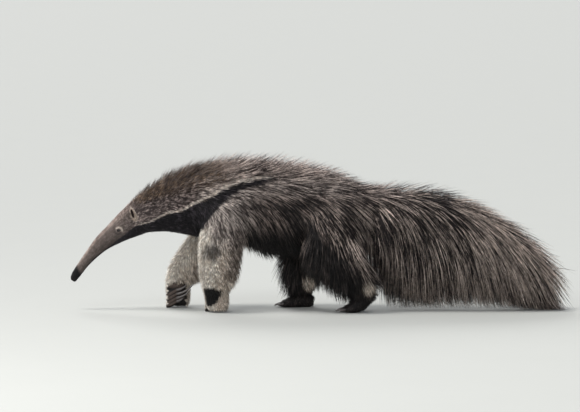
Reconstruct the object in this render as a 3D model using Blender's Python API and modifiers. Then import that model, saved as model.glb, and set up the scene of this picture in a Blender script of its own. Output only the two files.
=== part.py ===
"""A giant anteater walking with its head low, at life size.

Metres, +Z up. The head points to -X, the animal's left side faces -Y, and the
feet stand at Z = 0 under the middle of the body's box.
"""

import math
import random
from typing import NamedTuple

import bmesh
import bpy
from mathutils import Matrix, Vector
from mathutils.bvhtree import BVHTree

GAP = 0.0003
UP = Vector((0, 0, 1))
DOWN = Vector((0, 0, -1))
SIDE = Vector((0, 1, 0))
FAR = 4.0
LEFT, RIGHT = -1, 1

BODY_VOXEL = 0.009
BODY_SMOOTHING = 10
BODY_TRIANGLES = 2200
TOP_NARROWING = 0.14
TRUNK_SIDES = 28
TAIL_SIDES = 16
LIMB_SIDES = 18
FOOT_SIDES = 14
RING_STEP, TAIL_STEP = 0.03, 0.06
# Segments and rings of the lips and of the smallest rounded forms.
LIP_FACES, SMALL_FACES = (10, 6), (8, 5)
BLUNT_END = 0.72

COLOURS = {
    "coat_dark": ((0.055, 0.042, 0.035), 0.85),
    "coat_pale": ((0.30, 0.25, 0.19), 0.85),
    "snout_skin": ((0.11, 0.085, 0.07), 0.6),
    "claw_horn": ((0.09, 0.08, 0.075), 0.35),
    "eye_black": ((0.012, 0.008, 0.006), 0.08),
}


class Station(NamedTuple):
    """A section of the body: its centre, its half height and half width over the
    skin, and how far the coat, or the core under a long coat, stands off it."""

    x: float
    y: float
    z: float
    high: float
    wide: float
    coat: float


TRUNK = (
    Station(-0.708, 0, 0.3775, 0.069, 0.053, 0.004),
    Station(-0.660, 0, 0.3955, 0.080, 0.060, 0.007),
    Station(-0.605, 0, 0.4090, 0.094, 0.070, 0.010),
    Station(-0.545, 0, 0.4190, 0.112, 0.084, 0.014),
    Station(-0.470, 0, 0.4260, 0.128, 0.100, 0.018),
    Station(-0.380, 0, 0.4280, 0.138, 0.110, 0.020),
    Station(-0.280, 0, 0.4260, 0.140, 0.112, 0.022),
    Station(-0.170, 0, 0.4190, 0.136, 0.112, 0.022),
    Station(-0.060, 0, 0.4110, 0.126, 0.108, 0.020),
    Station(0.050, 0, 0.4050, 0.110, 0.102, 0.020),
    Station(0.140, 0, 0.4020, 0.082, 0.084, 0.020),
    Station(0.210, 0, 0.4080, 0.056, 0.052, 0.020),
    Station(0.300, 0, 0.4200, 0.044, 0.040, 0.020),
)
HEAD = (
    Station(-0.9895, 0, 0.1210, 0.0105, 0.0110, 0.000),
    Station(-0.9850, 0, 0.1280, 0.0150, 0.0145, 0.000),
    Station(-0.9710, 0, 0.1500, 0.0175, 0.0160, 0.001),
    Station(-0.9335, 0, 0.2005, 0.0205, 0.0185, 0.001),
    Station(-0.8735, 0, 0.2665, 0.0320, 0.0255, 0.001),
    Station(-0.8160, 0, 0.3100, 0.0440, 0.0350, 0.001),
    Station(-0.7670, 0, 0.3440, 0.0570, 0.0445, 0.002),
    TRUNK[0],
    TRUNK[1],
)
# The core of the tail reaches half way down from the dock to the hair's tips.
TAIL_CORE = (
    Station(0.180, 0, 0.4060, 0.058, 0.052, 0.018),
    Station(0.240, 0, 0.3980, 0.070, 0.046, 0.018),
    Station(0.320, 0, 0.3660, 0.100, 0.048, 0.018),
    Station(0.420, 0, 0.3450, 0.110, 0.052, 0.018),
    Station(0.530, 0, 0.3220, 0.104, 0.052, 0.018),
    Station(0.640, 0, 0.2850, 0.092, 0.048, 0.018),
    Station(0.740, 0, 0.2350, 0.078, 0.042, 0.018),
    Station(0.810, 0, 0.1900, 0.060, 0.034, 0.016),
    Station(0.860, 0, 0.1550, 0.038, 0.022, 0.012),
    Station(0.885, 0, 0.1350, 0.020, 0.014, 0.008),
)
FORE_LEGS = {
    LEFT: (
        Station(-0.385, -0.060, 0.440, 0.078, 0.052, 0.016),
        Station(-0.385, -0.090, 0.350, 0.076, 0.050, 0.018),
        Station(-0.398, -0.103, 0.270, 0.066, 0.044, 0.022),
        Station(-0.405, -0.103, 0.200, 0.060, 0.041, 0.026),
        Station(-0.410, -0.100, 0.140, 0.052, 0.037, 0.026),
        Station(-0.414, -0.098, 0.095, 0.043, 0.033, 0.018),
        Station(-0.414, -0.098, 0.065, 0.038, 0.030, 0.012),
    ),
    RIGHT: (
        Station(-0.395, 0.060, 0.440, 0.078, 0.052, 0.016),
        Station(-0.410, 0.088, 0.350, 0.074, 0.050, 0.018),
        Station(-0.450, 0.100, 0.270, 0.062, 0.044, 0.022),
        Station(-0.505, 0.100, 0.200, 0.055, 0.040, 0.022),
        Station(-0.555, 0.098, 0.140, 0.047, 0.036, 0.018),
        Station(-0.575, 0.096, 0.100, 0.040, 0.032, 0.012),
        Station(-0.572, 0.096, 0.065, 0.036, 0.029, 0.008),
    ),
}
HIND_LEGS = {
    LEFT: (
        Station(0.070, -0.055, 0.430, 0.090, 0.052, 0.018),
        Station(0.050, -0.088, 0.340, 0.090, 0.052, 0.020),
        Station(0.055, -0.104, 0.260, 0.074, 0.046, 0.022),
        Station(0.105, -0.106, 0.185, 0.052, 0.038, 0.024),
        Station(0.155, -0.102, 0.125, 0.040, 0.032, 0.022),
        Station(0.172, -0.100, 0.085, 0.034, 0.029, 0.014),
        Station(0.170, -0.100, 0.055, 0.030, 0.027, 0.010),
    ),
    RIGHT: (
        Station(0.060, 0.055, 0.430, 0.090, 0.052, 0.018),
        Station(0.015, 0.088, 0.340, 0.086, 0.052, 0.020),
        Station(-0.030, 0.103, 0.265, 0.070, 0.046, 0.022),
        Station(-0.066, 0.104, 0.195, 0.052, 0.038, 0.024),
        Station(-0.070, 0.100, 0.130, 0.040, 0.032, 0.022),
        Station(-0.068, 0.098, 0.085, 0.034, 0.029, 0.014),
        Station(-0.070, 0.098, 0.055, 0.030, 0.027, 0.010),
    ),
}

SNOUT_CUT = (Vector((-0.862, 0, 0.276)), Vector((0.80, 0, 0.60)))
NECK_CUT = (Vector((-0.702, 0, 0.380)), Vector((0.93, 0, 0.37)))
TORSO_CUT = (Vector((-0.500, 0, 0.423)), Vector((0.98, 0, 0.20)))
TAIL_CUT = (Vector((0.225, 0, 0.410)), Vector((0.995, 0, -0.10)))


class LegCut(NamedTuple):
    """The space that a leg node fills: its reach along X, the heights of its
    sloping top at the body's middle and far outside, and where the foot begins."""

    front: float
    back: float
    inner_top: float
    outer_top: float
    foot: float


LEG_MIDDLE_Y, LEG_OUTER_Y = 0.010, 0.260
LEG_CUTS = {
    ("fore", LEFT): LegCut(-0.535, -0.285, 0.268, 0.420, 0.085),
    ("fore", RIGHT): LegCut(-0.680, -0.300, 0.268, 0.420, 0.095),
    ("hind", LEFT): LegCut(-0.075, 0.233, 0.270, 0.420, 0.080),
    ("hind", RIGHT): LegCut(-0.175, 0.165, 0.270, 0.420, 0.075),
}

SIDE_NAMES = {LEFT: "left", RIGHT: "right"}
SHARP_EDGE = 50
HEAD_SIDES = 22
HEAD_STEP = 0.022
MOUTH_LENGTH = 0.030
MOUTH_GAP = 0.0016
MOUTH_DROP = 0.0035
SNOUT_TIP_ROOM = 0.030
# Each lip's radii across, high and along, and how far it lies ahead of the
# snout's tip and above it.
UPPER_LIP = ((0.0140, 0.0115, 0.0125), 0.001, 0.0040)
LOWER_LIP = ((0.0105, 0.0070, 0.0120), -0.004, -0.0085)
NOSTRIL_PLACE = Vector((0.012, 0.006, 0.006))
NOSTRIL_RADII = (0.0028, 0.0036, 0.006)
EYE_RADIUS = 0.0090
EYE_PLACE = Vector((-0.8020, 0.0315, 0.3210))
LID_TURN = Vector((-0.12, 1.0, 0.22))
LID_LONG, LID_SHORT, LID_THICK = 0.0105, 0.0082, 0.0030
LID_STAND, LID_DEEPER = 0.42, 1.3
LID_SEGMENTS, LID_SIDES = 10, 5
EAR_PLACE = Vector((-0.7430, 0.0510, 0.3900))
EAR_LEAN = Vector((-0.22, 0.42, 1.0))
EAR_MOUTH = Vector((-0.45, 1.0, 0.0))
EAR_RADII = (0.0115, 0.0145, 0.0270)
EAR_HOLLOW, EAR_OPENNESS = 0.80, 0.40

CLAW_RINGS, CLAW_SIDES = 4, 6
CLAW_FLATNESS, CLAW_TAPER, CLAW_POINT = 0.7, 0.75, 0.0004
FORE_CLAWS = (0.052, 0.085, 0.070, 0.036)
FORE_CLAW_RADIUS = 0.0066
HIND_CLAW, HIND_CLAW_RADIUS, HIND_CLAW_DROP = 0.026, 0.0050, 0.008
# The fingers and their claws, for a foot whose inner side faces +Y.
FINGER_RADII = (0.0125, 0.0125, 0.030)
FINGER_HEIGHTS = (0.063, 0.047, 0.031, 0.017)
FINGER_ROOT = Vector((-0.0155, 0.0271, 0))
FINGER_WAY = Vector((0.80, 0.10, 0.45))
FINGER_TIP = 0.018
CLAW_SHIFT = 0.006
CLAW_WAY = Vector((0.80, 0.06, 0.50))
CLAW_BOW = Vector((0.050, 0.014, -0.085))
TOES = 5
TOE_RADII = (0.0095, 0.0090, 0.026)
TOE_FAN, TOE_SPREAD, TOE_ARC, TOE_TIP = 0.22, 0.027, 0.014, 0.020
TOE_SLOPE, TOE_BACK, TOE_DROP = -0.04, 0.012, 0.004
CLAW_RISE = 0.003
# Height, lean along X, half length and half width of the fist's sections.
FIST_RINGS = (
    (0.1150, 0.000, 0.040, 0.030),
    (0.0900, 0.000, 0.047, 0.031),
    (0.0600, 0.004, 0.052, 0.033),
    (0.0300, 0.008, 0.050, 0.034),
    (0.0080, 0.010, 0.043, 0.031),
    (-0.0040, 0.010, 0.034, 0.026),
)
HIND_FEET = {
    LEFT: (
        Station(0.2020, -0.100, 0.0760, 0.024, 0.024, 0.006),
        Station(0.1780, -0.100, 0.0520, 0.030, 0.029, 0.006),
        Station(0.1500, -0.100, 0.0260, 0.028, 0.036, 0.004),
        Station(0.1220, -0.100, 0.0150, 0.018, 0.037, 0.002),
        Station(0.1100, -0.100, 0.0130, 0.014, 0.034, 0.002),
    ),
    RIGHT: (
        Station(-0.0350, 0.098, 0.0240, 0.026, 0.026, 0.006),
        Station(-0.0600, 0.098, 0.0280, 0.030, 0.030, 0.006),
        Station(-0.0950, 0.098, 0.0220, 0.026, 0.036, 0.004),
        Station(-0.1250, 0.098, 0.0150, 0.018, 0.037, 0.002),
        Station(-0.1400, 0.098, 0.0130, 0.014, 0.034, 0.002),
    ),
}

SEED = 7
ROOT_DEPTH = 0.012
ROW_WANDER = 5
LIE_WANDER = 0.08
LENGTH_SPREAD = (0.92, 1.08)
CREST_STAGGER = 0.007
LIFT_STAGGER = 0.2
LEG_LIFT, LEG_FALL, LEG_LIE = 0.016, 0.10, (0.30, 0.10)
LEG_ROW_TURN = 8
LOWEST_HAIR = 0.010
# How wide and how thick a lock is at even steps from its root to its point.
LONG_LOCK = ((0.60, 0.90), (1.00, 1.00), (0.92, 0.80), (0.62, 0.50))
SHORT_LOCK = ((0.65, 0.90), (1.00, 1.00), (0.70, 0.60))
LONG_FROM = 0.160
TIP = (0.10, 0.20)
LOCK_SIDES = 3
LOCK_DEPTH = 0.0065


class Row(NamedTuple):
    """A row of locks down one side of the body or along its top. The angle is
    measured round the section from its top, and the lie is set at both ends."""

    start: float
    end: float
    count: int
    angle: float
    lie_start: tuple
    lie_end: tuple
    long_start: float
    long_end: float
    width: float
    lift: float
    fall: float


TAIL_ROWS = (
    Row(0.264, 0.855, 12, 116, (0.02, 0.25, -1), (0.50, 0.10, -1), 0.335, 0.190, 0.034, 0.012, 0.10),
    Row(0.284, 0.835, 10, 86, (0.10, 0.30, -1), (0.70, 0.15, -1), 0.260, 0.210, 0.034, 0.022, 0.06),
    Row(0.258, 0.815, 11, 50, (0.25, 0.40, -1), (0.85, 0.20, -0.8), 0.220, 0.225, 0.034, 0.028, 0.06),
)
TAIL_KEEL_ROW = Row(0.300, 0.850, 7, 180, (0.05, 0, -1), (0.60, 0, -1), 0.230, 0.150, 0.034, 0.012, 0.06)
TAIL_TOP_ROW = Row(0.235, 0.840, 12, 0, (1, 0, 0.05), (0.85, 0, -0.50), 0.130, 0.195, 0.026, 0.030, 0.02)
MANE_ROW = Row(-0.700, -0.540, 6, 0, (0.70, 0, 0.70), (0.90, 0, 0.50), 0.085, 0.110, 0.016, 0.036, 0.08)
CREST_ROW = Row(-0.495, 0.160, 12, 0, (0.90, 0, 0.45), (1, 0, 0.25), 0.115, 0.125, 0.018, 0.034, 0.10)
BACK_ROWS = (
    Row(-0.655, -0.575, 3, 34, (0.80, 0.15, 0.20), (0.90, 0.15, 0.10), 0.095, 0.095, 0.022, 0.018, 0.12),
    Row(-0.490, 0.100, 9, 34, (1, 0.20, -0.10), (1, 0.20, -0.20), 0.145, 0.145, 0.026, 0.020, 0.10),
    Row(-0.465, 0.070, 9, 66, (0.75, 0.2, -0.7), (0.8, 0.2, -0.7), 0.150, 0.150, 0.028, 0.016, 0.12),
    Row(-0.276, -0.105, 5, 104, (0.30, 0.1, -1), (0.5, 0.1, -1), 0.159, 0.100, 0.026, 0.012, 0.10),
)


class Fringe(NamedTuple):
    """Locks down a leg: the heights of their roots, and the angles round the leg,
    from its back to its outer side."""

    heights: tuple
    angles: tuple
    long: float
    width: float


FRINGES = {
    "fore": Fringe((0.235, 0.185, 0.145), (5, 60), 0.070, 0.024),
    "hind": Fringe((0.255, 0.200, 0.150), (0, 50, 100), 0.085, 0.026),
}


def clear_scene():
    for old in list(bpy.data.objects):
        bpy.data.objects.remove(old)


def collection(name):
    made = bpy.data.collections.new(name)
    bpy.context.scene.collection.children.link(made)
    return made


def material(name):
    colour, roughness = COLOURS[name]
    found = bpy.data.materials.get(name)
    if found:
        return found
    made = bpy.data.materials.new(name)
    made.use_nodes = True
    shader = made.node_tree.nodes["Principled BSDF"]
    shader.inputs["Base Color"].default_value = (*colour, 1)
    shader.inputs["Roughness"].default_value = roughness
    return made


def mesh_object(name, bm, into):
    """The bmesh as an object of its own, in the collection given."""
    mesh = bpy.data.meshes.new(name)
    bm.to_mesh(mesh)
    bm.free()
    made = bpy.data.objects.new(name, mesh)
    into.objects.link(made)
    return made


def catmull(before, start, end, after, t):
    """A value between start and end on the smooth curve through all four."""
    return 0.5 * (
        2 * start
        + (end - before) * t
        + (2 * before - 5 * start + 4 * end - after) * t**2
        + (3 * start - before - 3 * end + after) * t**3
    )


def smooth_stations(stations, step=RING_STEP):
    """Stations on one smooth curve through those given, about a step apart."""
    made = []
    for i in range(len(stations) - 1):
        start, end = stations[i], stations[i + 1]
        before = stations[max(i - 1, 0)]
        after = stations[min(i + 2, len(stations) - 1)]
        length = math.dist(start[:3], end[:3])
        count = max(1, round(length / step))
        for k in range(count):
            four = zip(before, start, end, after)
            made.append(Station(*(catmull(*values, k / count) for values in four)))
    made.append(stations[-1])
    return made


def ring_matrix(centre, along, side, high, wide):
    """Turns the unit circle into a section across the direction given."""
    along = along.normalized()
    side = (side - side.dot(along) * along).normalized()
    rise = along.cross(side)
    turn = Matrix((side * wide, rise * high, along)).transposed().to_4x4()
    return Matrix.Translation(centre) @ turn


def loft(name, matrices, sides, into, pointed=(False, True)):
    """A closed skin over circles set by the matrices. An end is capped flat, or
    drawn to a point."""
    bm = bmesh.new()
    rings = []
    for matrix in matrices:
        ring = bmesh.ops.create_circle(bm, segments=sides, radius=1, matrix=matrix)
        rings.append(ring["verts"])
    loops = [list({e for v in ring for e in v.link_edges}) for ring in rings]
    for near, far in zip(loops, loops[1:]):
        bmesh.ops.bridge_loops(bm, edges=near + far)
    for ring, loop, matrix, sharp in (
        (rings[0], loops[0], matrices[0], pointed[0]),
        (rings[-1], loops[-1], matrices[-1], pointed[1]),
    ):
        if sharp:
            bmesh.ops.pointmerge(bm, verts=ring, merge_co=matrix.translation)
        else:
            bmesh.ops.contextual_create(bm, geom=loop)
    bmesh.ops.recalc_face_normals(bm, faces=bm.faces[:])
    return mesh_object(name, bm, into)


def body_loft(name, stations, sides, into, step=RING_STEP, narrowing=0.0):
    """A rounded form along stations, with blunt ends."""
    path = smooth_stations(stations, step)
    centres = [Vector(s[:3]) for s in path]
    matrices = []
    for i, station in enumerate(path):
        following = centres[min(i + 1, len(path) - 1)]
        along = following - centres[max(i - 1, 0)]
        high, wide = station.high + station.coat, station.wide + station.coat
        matrices.append(ring_matrix(centres[i], along, SIDE, high, wide))
    blunt = Matrix.Diagonal((BLUNT_END, BLUNT_END, 1, 1))
    for end, inner in ((0, 1), (-1, -2)):
        out = (centres[end] - centres[inner]).normalized()
        cap = matrices[end] @ blunt
        cap.translation += out * 0.5 * min(path[end].high, path[end].wide)
        matrices.insert(0 if end == 0 else len(matrices), cap)
    made = loft(name, matrices, sides, into, pointed=(False, False))
    if narrowing:
        for vertex in made.data.vertices:
            nearest = min(path, key=lambda s: abs(s.x - vertex.co.x))
            rise = (vertex.co.z - nearest.z) / (nearest.high + nearest.coat)
            vertex.co.y *= 1 - narrowing * rise
    return made


def evaluate(made):
    """Applies an object's modifiers to its mesh."""
    graph = bpy.context.evaluated_depsgraph_get()
    applied = bpy.data.meshes.new_from_object(made.evaluated_get(graph))
    made.modifiers.clear()
    made.data = applied
    return made


def copy_of(source, name, into):
    made = bpy.data.objects.new(name, source.data.copy())
    into.objects.link(made)
    return made


def fuse(target, others):
    """One Boolean union of the target with all the others, which are then removed."""
    group = collection("others")
    for other in others:
        for holder in list(other.users_collection):
            holder.objects.unlink(other)
        group.objects.link(other)
    modifier = target.modifiers.new("fuse", "BOOLEAN")
    modifier.operation = "UNION"
    modifier.operand_type = "COLLECTION"
    modifier.collection = group
    modifier.solver = "MANIFOLD"
    evaluate(target)
    for other in others:
        bpy.data.objects.remove(other)
    bpy.data.collections.remove(group)
    return target


def cut(target, cutters, operation="DIFFERENCE"):
    """Takes each cutter in turn from the target, or keeps what they share."""
    for cutter in cutters:
        modifier = target.modifiers.new("cut", "BOOLEAN")
        modifier.operation = operation
        modifier.object = cutter
        modifier.solver = "MANIFOLD"
    evaluate(target)
    for cutter in cutters:
        bpy.data.objects.remove(cutter)
    return target


def keep_largest(made):
    """Drops all but the largest closed surface: scraps of a cut, and hollows."""
    bm = bmesh.new()
    bm.from_mesh(made.data)
    left, best = set(bm.verts), []
    while left:
        front = [left.pop()]
        island = list(front)
        while front:
            for edge in front.pop().link_edges:
                for vertex in edge.verts:
                    if vertex in left:
                        left.discard(vertex)
                        island.append(vertex)
                        front.append(vertex)
        if len(island) > len(best):
            best = island
    kept = set(best)
    loose = [v for v in bm.verts if v not in kept]
    bmesh.ops.delete(bm, geom=loose, context="VERTS")
    bm.to_mesh(made.data)
    bm.free()
    return made


def half_space(point, normal, cutters):
    """A large block that fills all ahead of a plane, and half the gap behind it."""
    normal = normal.normalized()
    bm = bmesh.new()
    bmesh.ops.create_cube(bm, size=FAR)
    turn = normal.to_track_quat("Z", "Y").to_matrix().to_4x4()
    centre = point + normal * (FAR / 2 - GAP / 2)
    bmesh.ops.transform(bm, matrix=Matrix.Translation(centre) @ turn, verts=bm.verts)
    return mesh_object("half_space", bm, cutters)


def leg_block(pair, side, grow, cutters):
    """The space of one leg node: a block with a sloping top, made larger or
    smaller all round by grow."""
    space = LEG_CUTS[pair, side]
    bm = bmesh.new()
    bmesh.ops.create_cube(bm, size=1)
    for vertex in bm.verts:
        back, outer, above = (value > 0 for value in vertex.co)
        top = (space.outer_top if outer else space.inner_top) + grow
        vertex.co.x = space.back + grow if back else space.front - grow
        vertex.co.y = LEG_OUTER_Y + grow if outer else LEG_MIDDLE_Y - grow
        vertex.co.z = top if above else space.foot - grow
    if side == LEFT:
        bmesh.ops.scale(bm, vec=(1, -1, 1), verts=bm.verts)
        bmesh.ops.reverse_faces(bm, faces=bm.faces)
    return mesh_object("leg_block", bm, cutters)


def fused_body(helpers):
    """Trunk and legs as one rounded skin, which the nodes are parted from."""
    trunk = body_loft("body", TRUNK, TRUNK_SIDES, helpers, narrowing=TOP_NARROWING)
    limbs = [
        body_loft(f"limb_{i}", legs[side], LIMB_SIDES, helpers)
        for i, (legs, side) in enumerate(
            (legs, side) for legs in (FORE_LEGS, HIND_LEGS) for side in (LEFT, RIGHT)
        )
    ]
    fuse(trunk, limbs)
    remesh = trunk.modifiers.new("remesh", "REMESH")
    remesh.mode = "VOXEL"
    remesh.voxel_size = BODY_VOXEL
    smooth = trunk.modifiers.new("smooth", "SMOOTH")
    smooth.factor = 0.5
    smooth.iterations = BODY_SMOOTHING
    evaluate(trunk)
    thin = trunk.modifiers.new("thin", "DECIMATE")
    thin.ratio = BODY_TRIANGLES / (2 * len(trunk.data.polygons))
    return evaluate(trunk)


def finish_node(made, name, finish, parts):
    """Names a node, gives it its material and files it with the parts."""
    made.name = name
    for holder in list(made.users_collection):
        holder.objects.unlink(made)
    parts.objects.link(made)
    made.data.materials.clear()
    made.data.materials.append(material(finish))
    made.data.shade_smooth()
    made.data.set_sharp_from_angle(angle=math.radians(SHARP_EDGE))
    return made


def ellipsoid(centre, radii, into, along=UP, across=SIDE, segments=12, rings=7):
    """A ball of three radii: across, the way that is square to both, and along."""
    bm = bmesh.new()
    bmesh.ops.create_uvsphere(bm, u_segments=segments, v_segments=rings, radius=1)
    place = ring_matrix(centre, along, across, radii[1], radii[0])
    place = place @ Matrix.Diagonal((1, 1, radii[2], 1))
    bmesh.ops.transform(bm, matrix=place, verts=bm.verts)
    return mesh_object("ellipsoid", bm, into)


def grown(source, by, into):
    """A copy of a closed form with its skin moved out."""
    made = copy_of(source, "grown", into)
    push = made.modifiers.new("push", "DISPLACE")
    push.strength = by
    push.mid_level = 0
    return evaluate(made)


def part_node(source, name, cuts, finish, parts, helpers):
    """One node: a copy of the source, less the cuts."""
    made = cut(copy_of(source, name, helpers), cuts)
    keep_largest(made)
    return finish_node(made, name, finish, parts)


def ahead(plane, helpers):
    """Fills the tail's side of a cutting plane."""
    return half_space(plane[0], plane[1], helpers)


def behind(plane, helpers):
    """Fills the snout's side of a cutting plane."""
    return half_space(plane[0], -plane[1], helpers)


def mouth_frame():
    """The snout's tip: where it ends, the way it points and its own upward way."""
    tip, back = Vector(HEAD[1][:3]), Vector(HEAD[3][:3])
    along = (tip - back).normalized()
    return tip, along, along.cross(SIDE)


def mouth_slit(helpers):
    """A thin blade that parts the lips from the tip back."""
    tip, along, rise = mouth_frame()
    reach = MOUTH_LENGTH + SNOUT_TIP_ROOM
    centre = tip - rise * MOUTH_DROP + along * (SNOUT_TIP_ROOM - reach / 2)
    bm = bmesh.new()
    bmesh.ops.create_cube(bm, size=1)
    place = ring_matrix(centre, along, SIDE, MOUTH_GAP, SNOUT_TIP_ROOM * 2)
    place = place @ Matrix.Diagonal((1, 1, reach, 1))
    bmesh.ops.transform(bm, matrix=place, verts=bm.verts)
    return mesh_object("mouth", bm, helpers)


def head_form(helpers):
    """Snout and head as one form, with lips, nostrils, the mouth and the lids."""
    head = body_loft("head_whole", HEAD, HEAD_SIDES, helpers, step=HEAD_STEP)
    tip, along, rise = mouth_frame()
    added = [lid_ring(side, helpers) for side in (LEFT, RIGHT)]
    for radii, ahead_of_tip, above_tip in (UPPER_LIP, LOWER_LIP):
        centre = tip + along * ahead_of_tip + rise * above_tip
        added.append(ellipsoid(centre, radii, helpers, along, SIDE, *LIP_FACES))
    fuse(head, added)
    removed = [mouth_slit(helpers)]
    for side in (LEFT, RIGHT):
        centre = tip + along * NOSTRIL_PLACE.x + rise * NOSTRIL_PLACE.z
        centre += SIDE * side * NOSTRIL_PLACE.y
        socket = (EYE_RADIUS + GAP,) * 3
        removed.append(ellipsoid(centre, NOSTRIL_RADII, helpers, along, SIDE, *SMALL_FACES))
        removed.append(ellipsoid(eye_centre(side), socket, helpers))
    return cut(head, removed)


def eye_centre(side):
    return mirrored(EYE_PLACE, side)


def lid_ring(side, helpers):
    """The two lids round an eye, as one almond ring that lies on the cheek."""
    out = mirrored(LID_TURN, side).normalized()
    slant = Vector(HEAD[5][:3]) - Vector(HEAD[4][:3])
    long_way = (slant - slant.dot(out) * out).normalized()
    short_way = out.cross(long_way)
    centre = eye_centre(side) + out * EYE_RADIUS * LID_STAND
    bm = bmesh.new()
    loops = []
    for i in range(LID_SEGMENTS):
        turn = 2 * math.pi * i / LID_SEGMENTS
        across, up = LID_LONG * math.cos(turn), LID_SHORT * math.sin(turn)
        along = short_way * LID_SHORT * math.cos(turn) - long_way * LID_LONG * math.sin(turn)
        spoke = centre + long_way * across + short_way * up
        matrix = ring_matrix(spoke, along, out, LID_THICK, LID_THICK * LID_DEEPER)
        ring = bmesh.ops.create_circle(bm, segments=LID_SIDES, radius=1, matrix=matrix)
        loops.append(list({edge for vertex in ring["verts"] for edge in vertex.link_edges}))
    for near, far in zip(loops, loops[1:] + loops[:1]):
        bmesh.ops.bridge_loops(bm, edges=near + far)
    bmesh.ops.recalc_face_normals(bm, faces=bm.faces[:])
    return mesh_object("lids", bm, helpers)


def mirrored(place, side):
    """A place or a way given for the animal's right, on the side asked for."""
    return Vector((place.x, side * place.y, place.z))


def ear(side, head, parts, helpers):
    """A small upright ear with a hollow that opens out and forward."""
    centre, lean = mirrored(EAR_PLACE, side), mirrored(EAR_LEAN, side)
    mouth = mirrored(EAR_MOUTH, side).normalized()
    shell = ellipsoid(centre, EAR_RADII, helpers, lean, mouth)
    hollow = tuple(radius * EAR_HOLLOW for radius in EAR_RADII)
    inner = centre + mouth * EAR_RADII[0] * EAR_OPENNESS
    cup = ellipsoid(inner, hollow, helpers, lean, mouth)
    cut(shell, [cup, grown(head, GAP, helpers)])
    keep_largest(shell)
    return finish_node(shell, f"ear_{SIDE_NAMES[side]}", "coat_pale", parts)


def eye(side, parts, helpers):
    ball = ellipsoid(eye_centre(side), (EYE_RADIUS,) * 3, helpers)
    return finish_node(ball, f"eye_{SIDE_NAMES[side]}", "eye_black", parts)


def claw(name, base, tip, bow, radius, flesh, parts, helpers):
    """A horn claw from base to tip, bowed by the vector given, cut clear of the
    foot that it grows from and the leg above."""
    matrices = []
    for i in range(CLAW_RINGS):
        t = i / (CLAW_RINGS - 1)
        point = base.lerp(tip, t) + bow * 4 * t * (1 - t)
        along = (tip - base) + bow * 4 * (1 - 2 * t)
        size = max(radius * (1 - t) ** CLAW_TAPER, CLAW_POINT)
        matrices.append(ring_matrix(point, along, SIDE, size, size * CLAW_FLATNESS))
    made = loft(name, matrices, CLAW_SIDES, helpers)
    cuts = [grown(piece, GAP, helpers) for piece in flesh] + [floor_block(helpers)]
    cut(made, cuts)
    keep_largest(made)
    return finish_node(made, name, "claw_horn", parts)


def floor_block(helpers):
    return half_space(Vector((0, 0, -GAP / 2)), DOWN, helpers)


def foot_block(pair, side, helpers):
    """The space of one foot node, from the floor to the leg's cut."""
    space = LEG_CUTS[pair, side]
    across = (side * LEG_MIDDLE_Y, side * LEG_OUTER_Y)
    return block((space.front, space.back), across, (0, space.foot - GAP), helpers)


def block(along, across, heights, helpers):
    """A box between the values given on each axis."""
    bm = bmesh.new()
    bmesh.ops.create_cube(bm, size=1)
    spans = [sorted(span) for span in (along, across, heights)]
    for vertex in bm.verts:
        vertex.co = Vector(span[value > 0] for span, value in zip(spans, vertex.co))
    return mesh_object("block", bm, helpers)


def forefoot(side, body, leg, parts, helpers):
    """A fist: the foot stands on its knuckles, and the claws fold back along the
    palm, which faces the body's middle."""
    wrist = Vector(FORE_LEGS[side][-2][:3])
    middle = Vector((wrist.x, wrist.y, 0))
    rings = []
    for height, lean, half_length, half_width in FIST_RINGS:
        centre = middle + Vector((lean, 0, height))
        rings.append(ring_matrix(centre, DOWN, SIDE, half_length, half_width))
    fist = loft("fist", rings, FOOT_SIDES, helpers, pointed=(False, False))
    way = mirrored(FINGER_WAY, -side).normalized()
    fingers, bases = [], []
    for height in FINGER_HEIGHTS:
        root = middle + mirrored(FINGER_ROOT, -side) + UP * height
        fingers.append(ellipsoid(root, FINGER_RADII, helpers, way, SIDE, *SMALL_FACES))
        bases.append(root + way * FINGER_TIP + SIDE * -side * CLAW_SHIFT)
    fuse(fist, fingers + [copy_of(body, "leg", helpers)])
    cut(fist, [foot_block("fore", side, helpers)], "INTERSECT")
    keep_largest(fist)
    name = SIDE_NAMES[side]
    finish_node(fist, f"forefoot_{name}", "coat_pale", parts)
    for i, (base, length) in enumerate(zip(bases, FORE_CLAWS)):
        tip = base + mirrored(CLAW_WAY, -side).normalized() * length
        bow = mirrored(CLAW_BOW, -side) * length
        label, flesh = f"claw_fore_{name}_{i + 1}", (fist, leg)
        claw(label, base, tip, bow, FORE_CLAW_RADIUS, flesh, parts, helpers)


def hindfoot(side, body, leg, parts, helpers):
    """A flat foot with five short claws. The left heel has left the floor."""
    stations = HIND_FEET[side]
    foot = body_loft("hindfoot", stations, FOOT_SIDES, helpers)
    ball = Vector(stations[-2][:3])
    toes, bases = [], []
    for i in range(TOES):
        spread = 2 * i / (TOES - 1) - 1
        way = Vector((-1, spread * TOE_FAN, TOE_SLOPE)).normalized()
        back = TOE_ARC * spread**2 - TOE_BACK
        root = ball + Vector((back, spread * TOE_SPREAD, -TOE_DROP))
        toes.append(ellipsoid(root, TOE_RADII, helpers, way, SIDE, *SMALL_FACES))
        bases.append((root + way * TOE_TIP + UP * CLAW_RISE, way))
    fuse(foot, toes + [copy_of(body, "leg", helpers)])
    cut(foot, [foot_block("hind", side, helpers)], "INTERSECT")
    keep_largest(foot)
    name = SIDE_NAMES[side]
    finish_node(foot, f"hindfoot_{name}", "coat_dark", parts)
    for i, (base, way) in enumerate(bases):
        tip = base + way * HIND_CLAW + DOWN * HIND_CLAW_DROP
        label, flesh = f"claw_hind_{name}_{i + 1}", (foot, leg)
        claw(label, base, tip, UP * CLAW_RISE, HIND_CLAW_RADIUS, flesh, parts, helpers)


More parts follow.
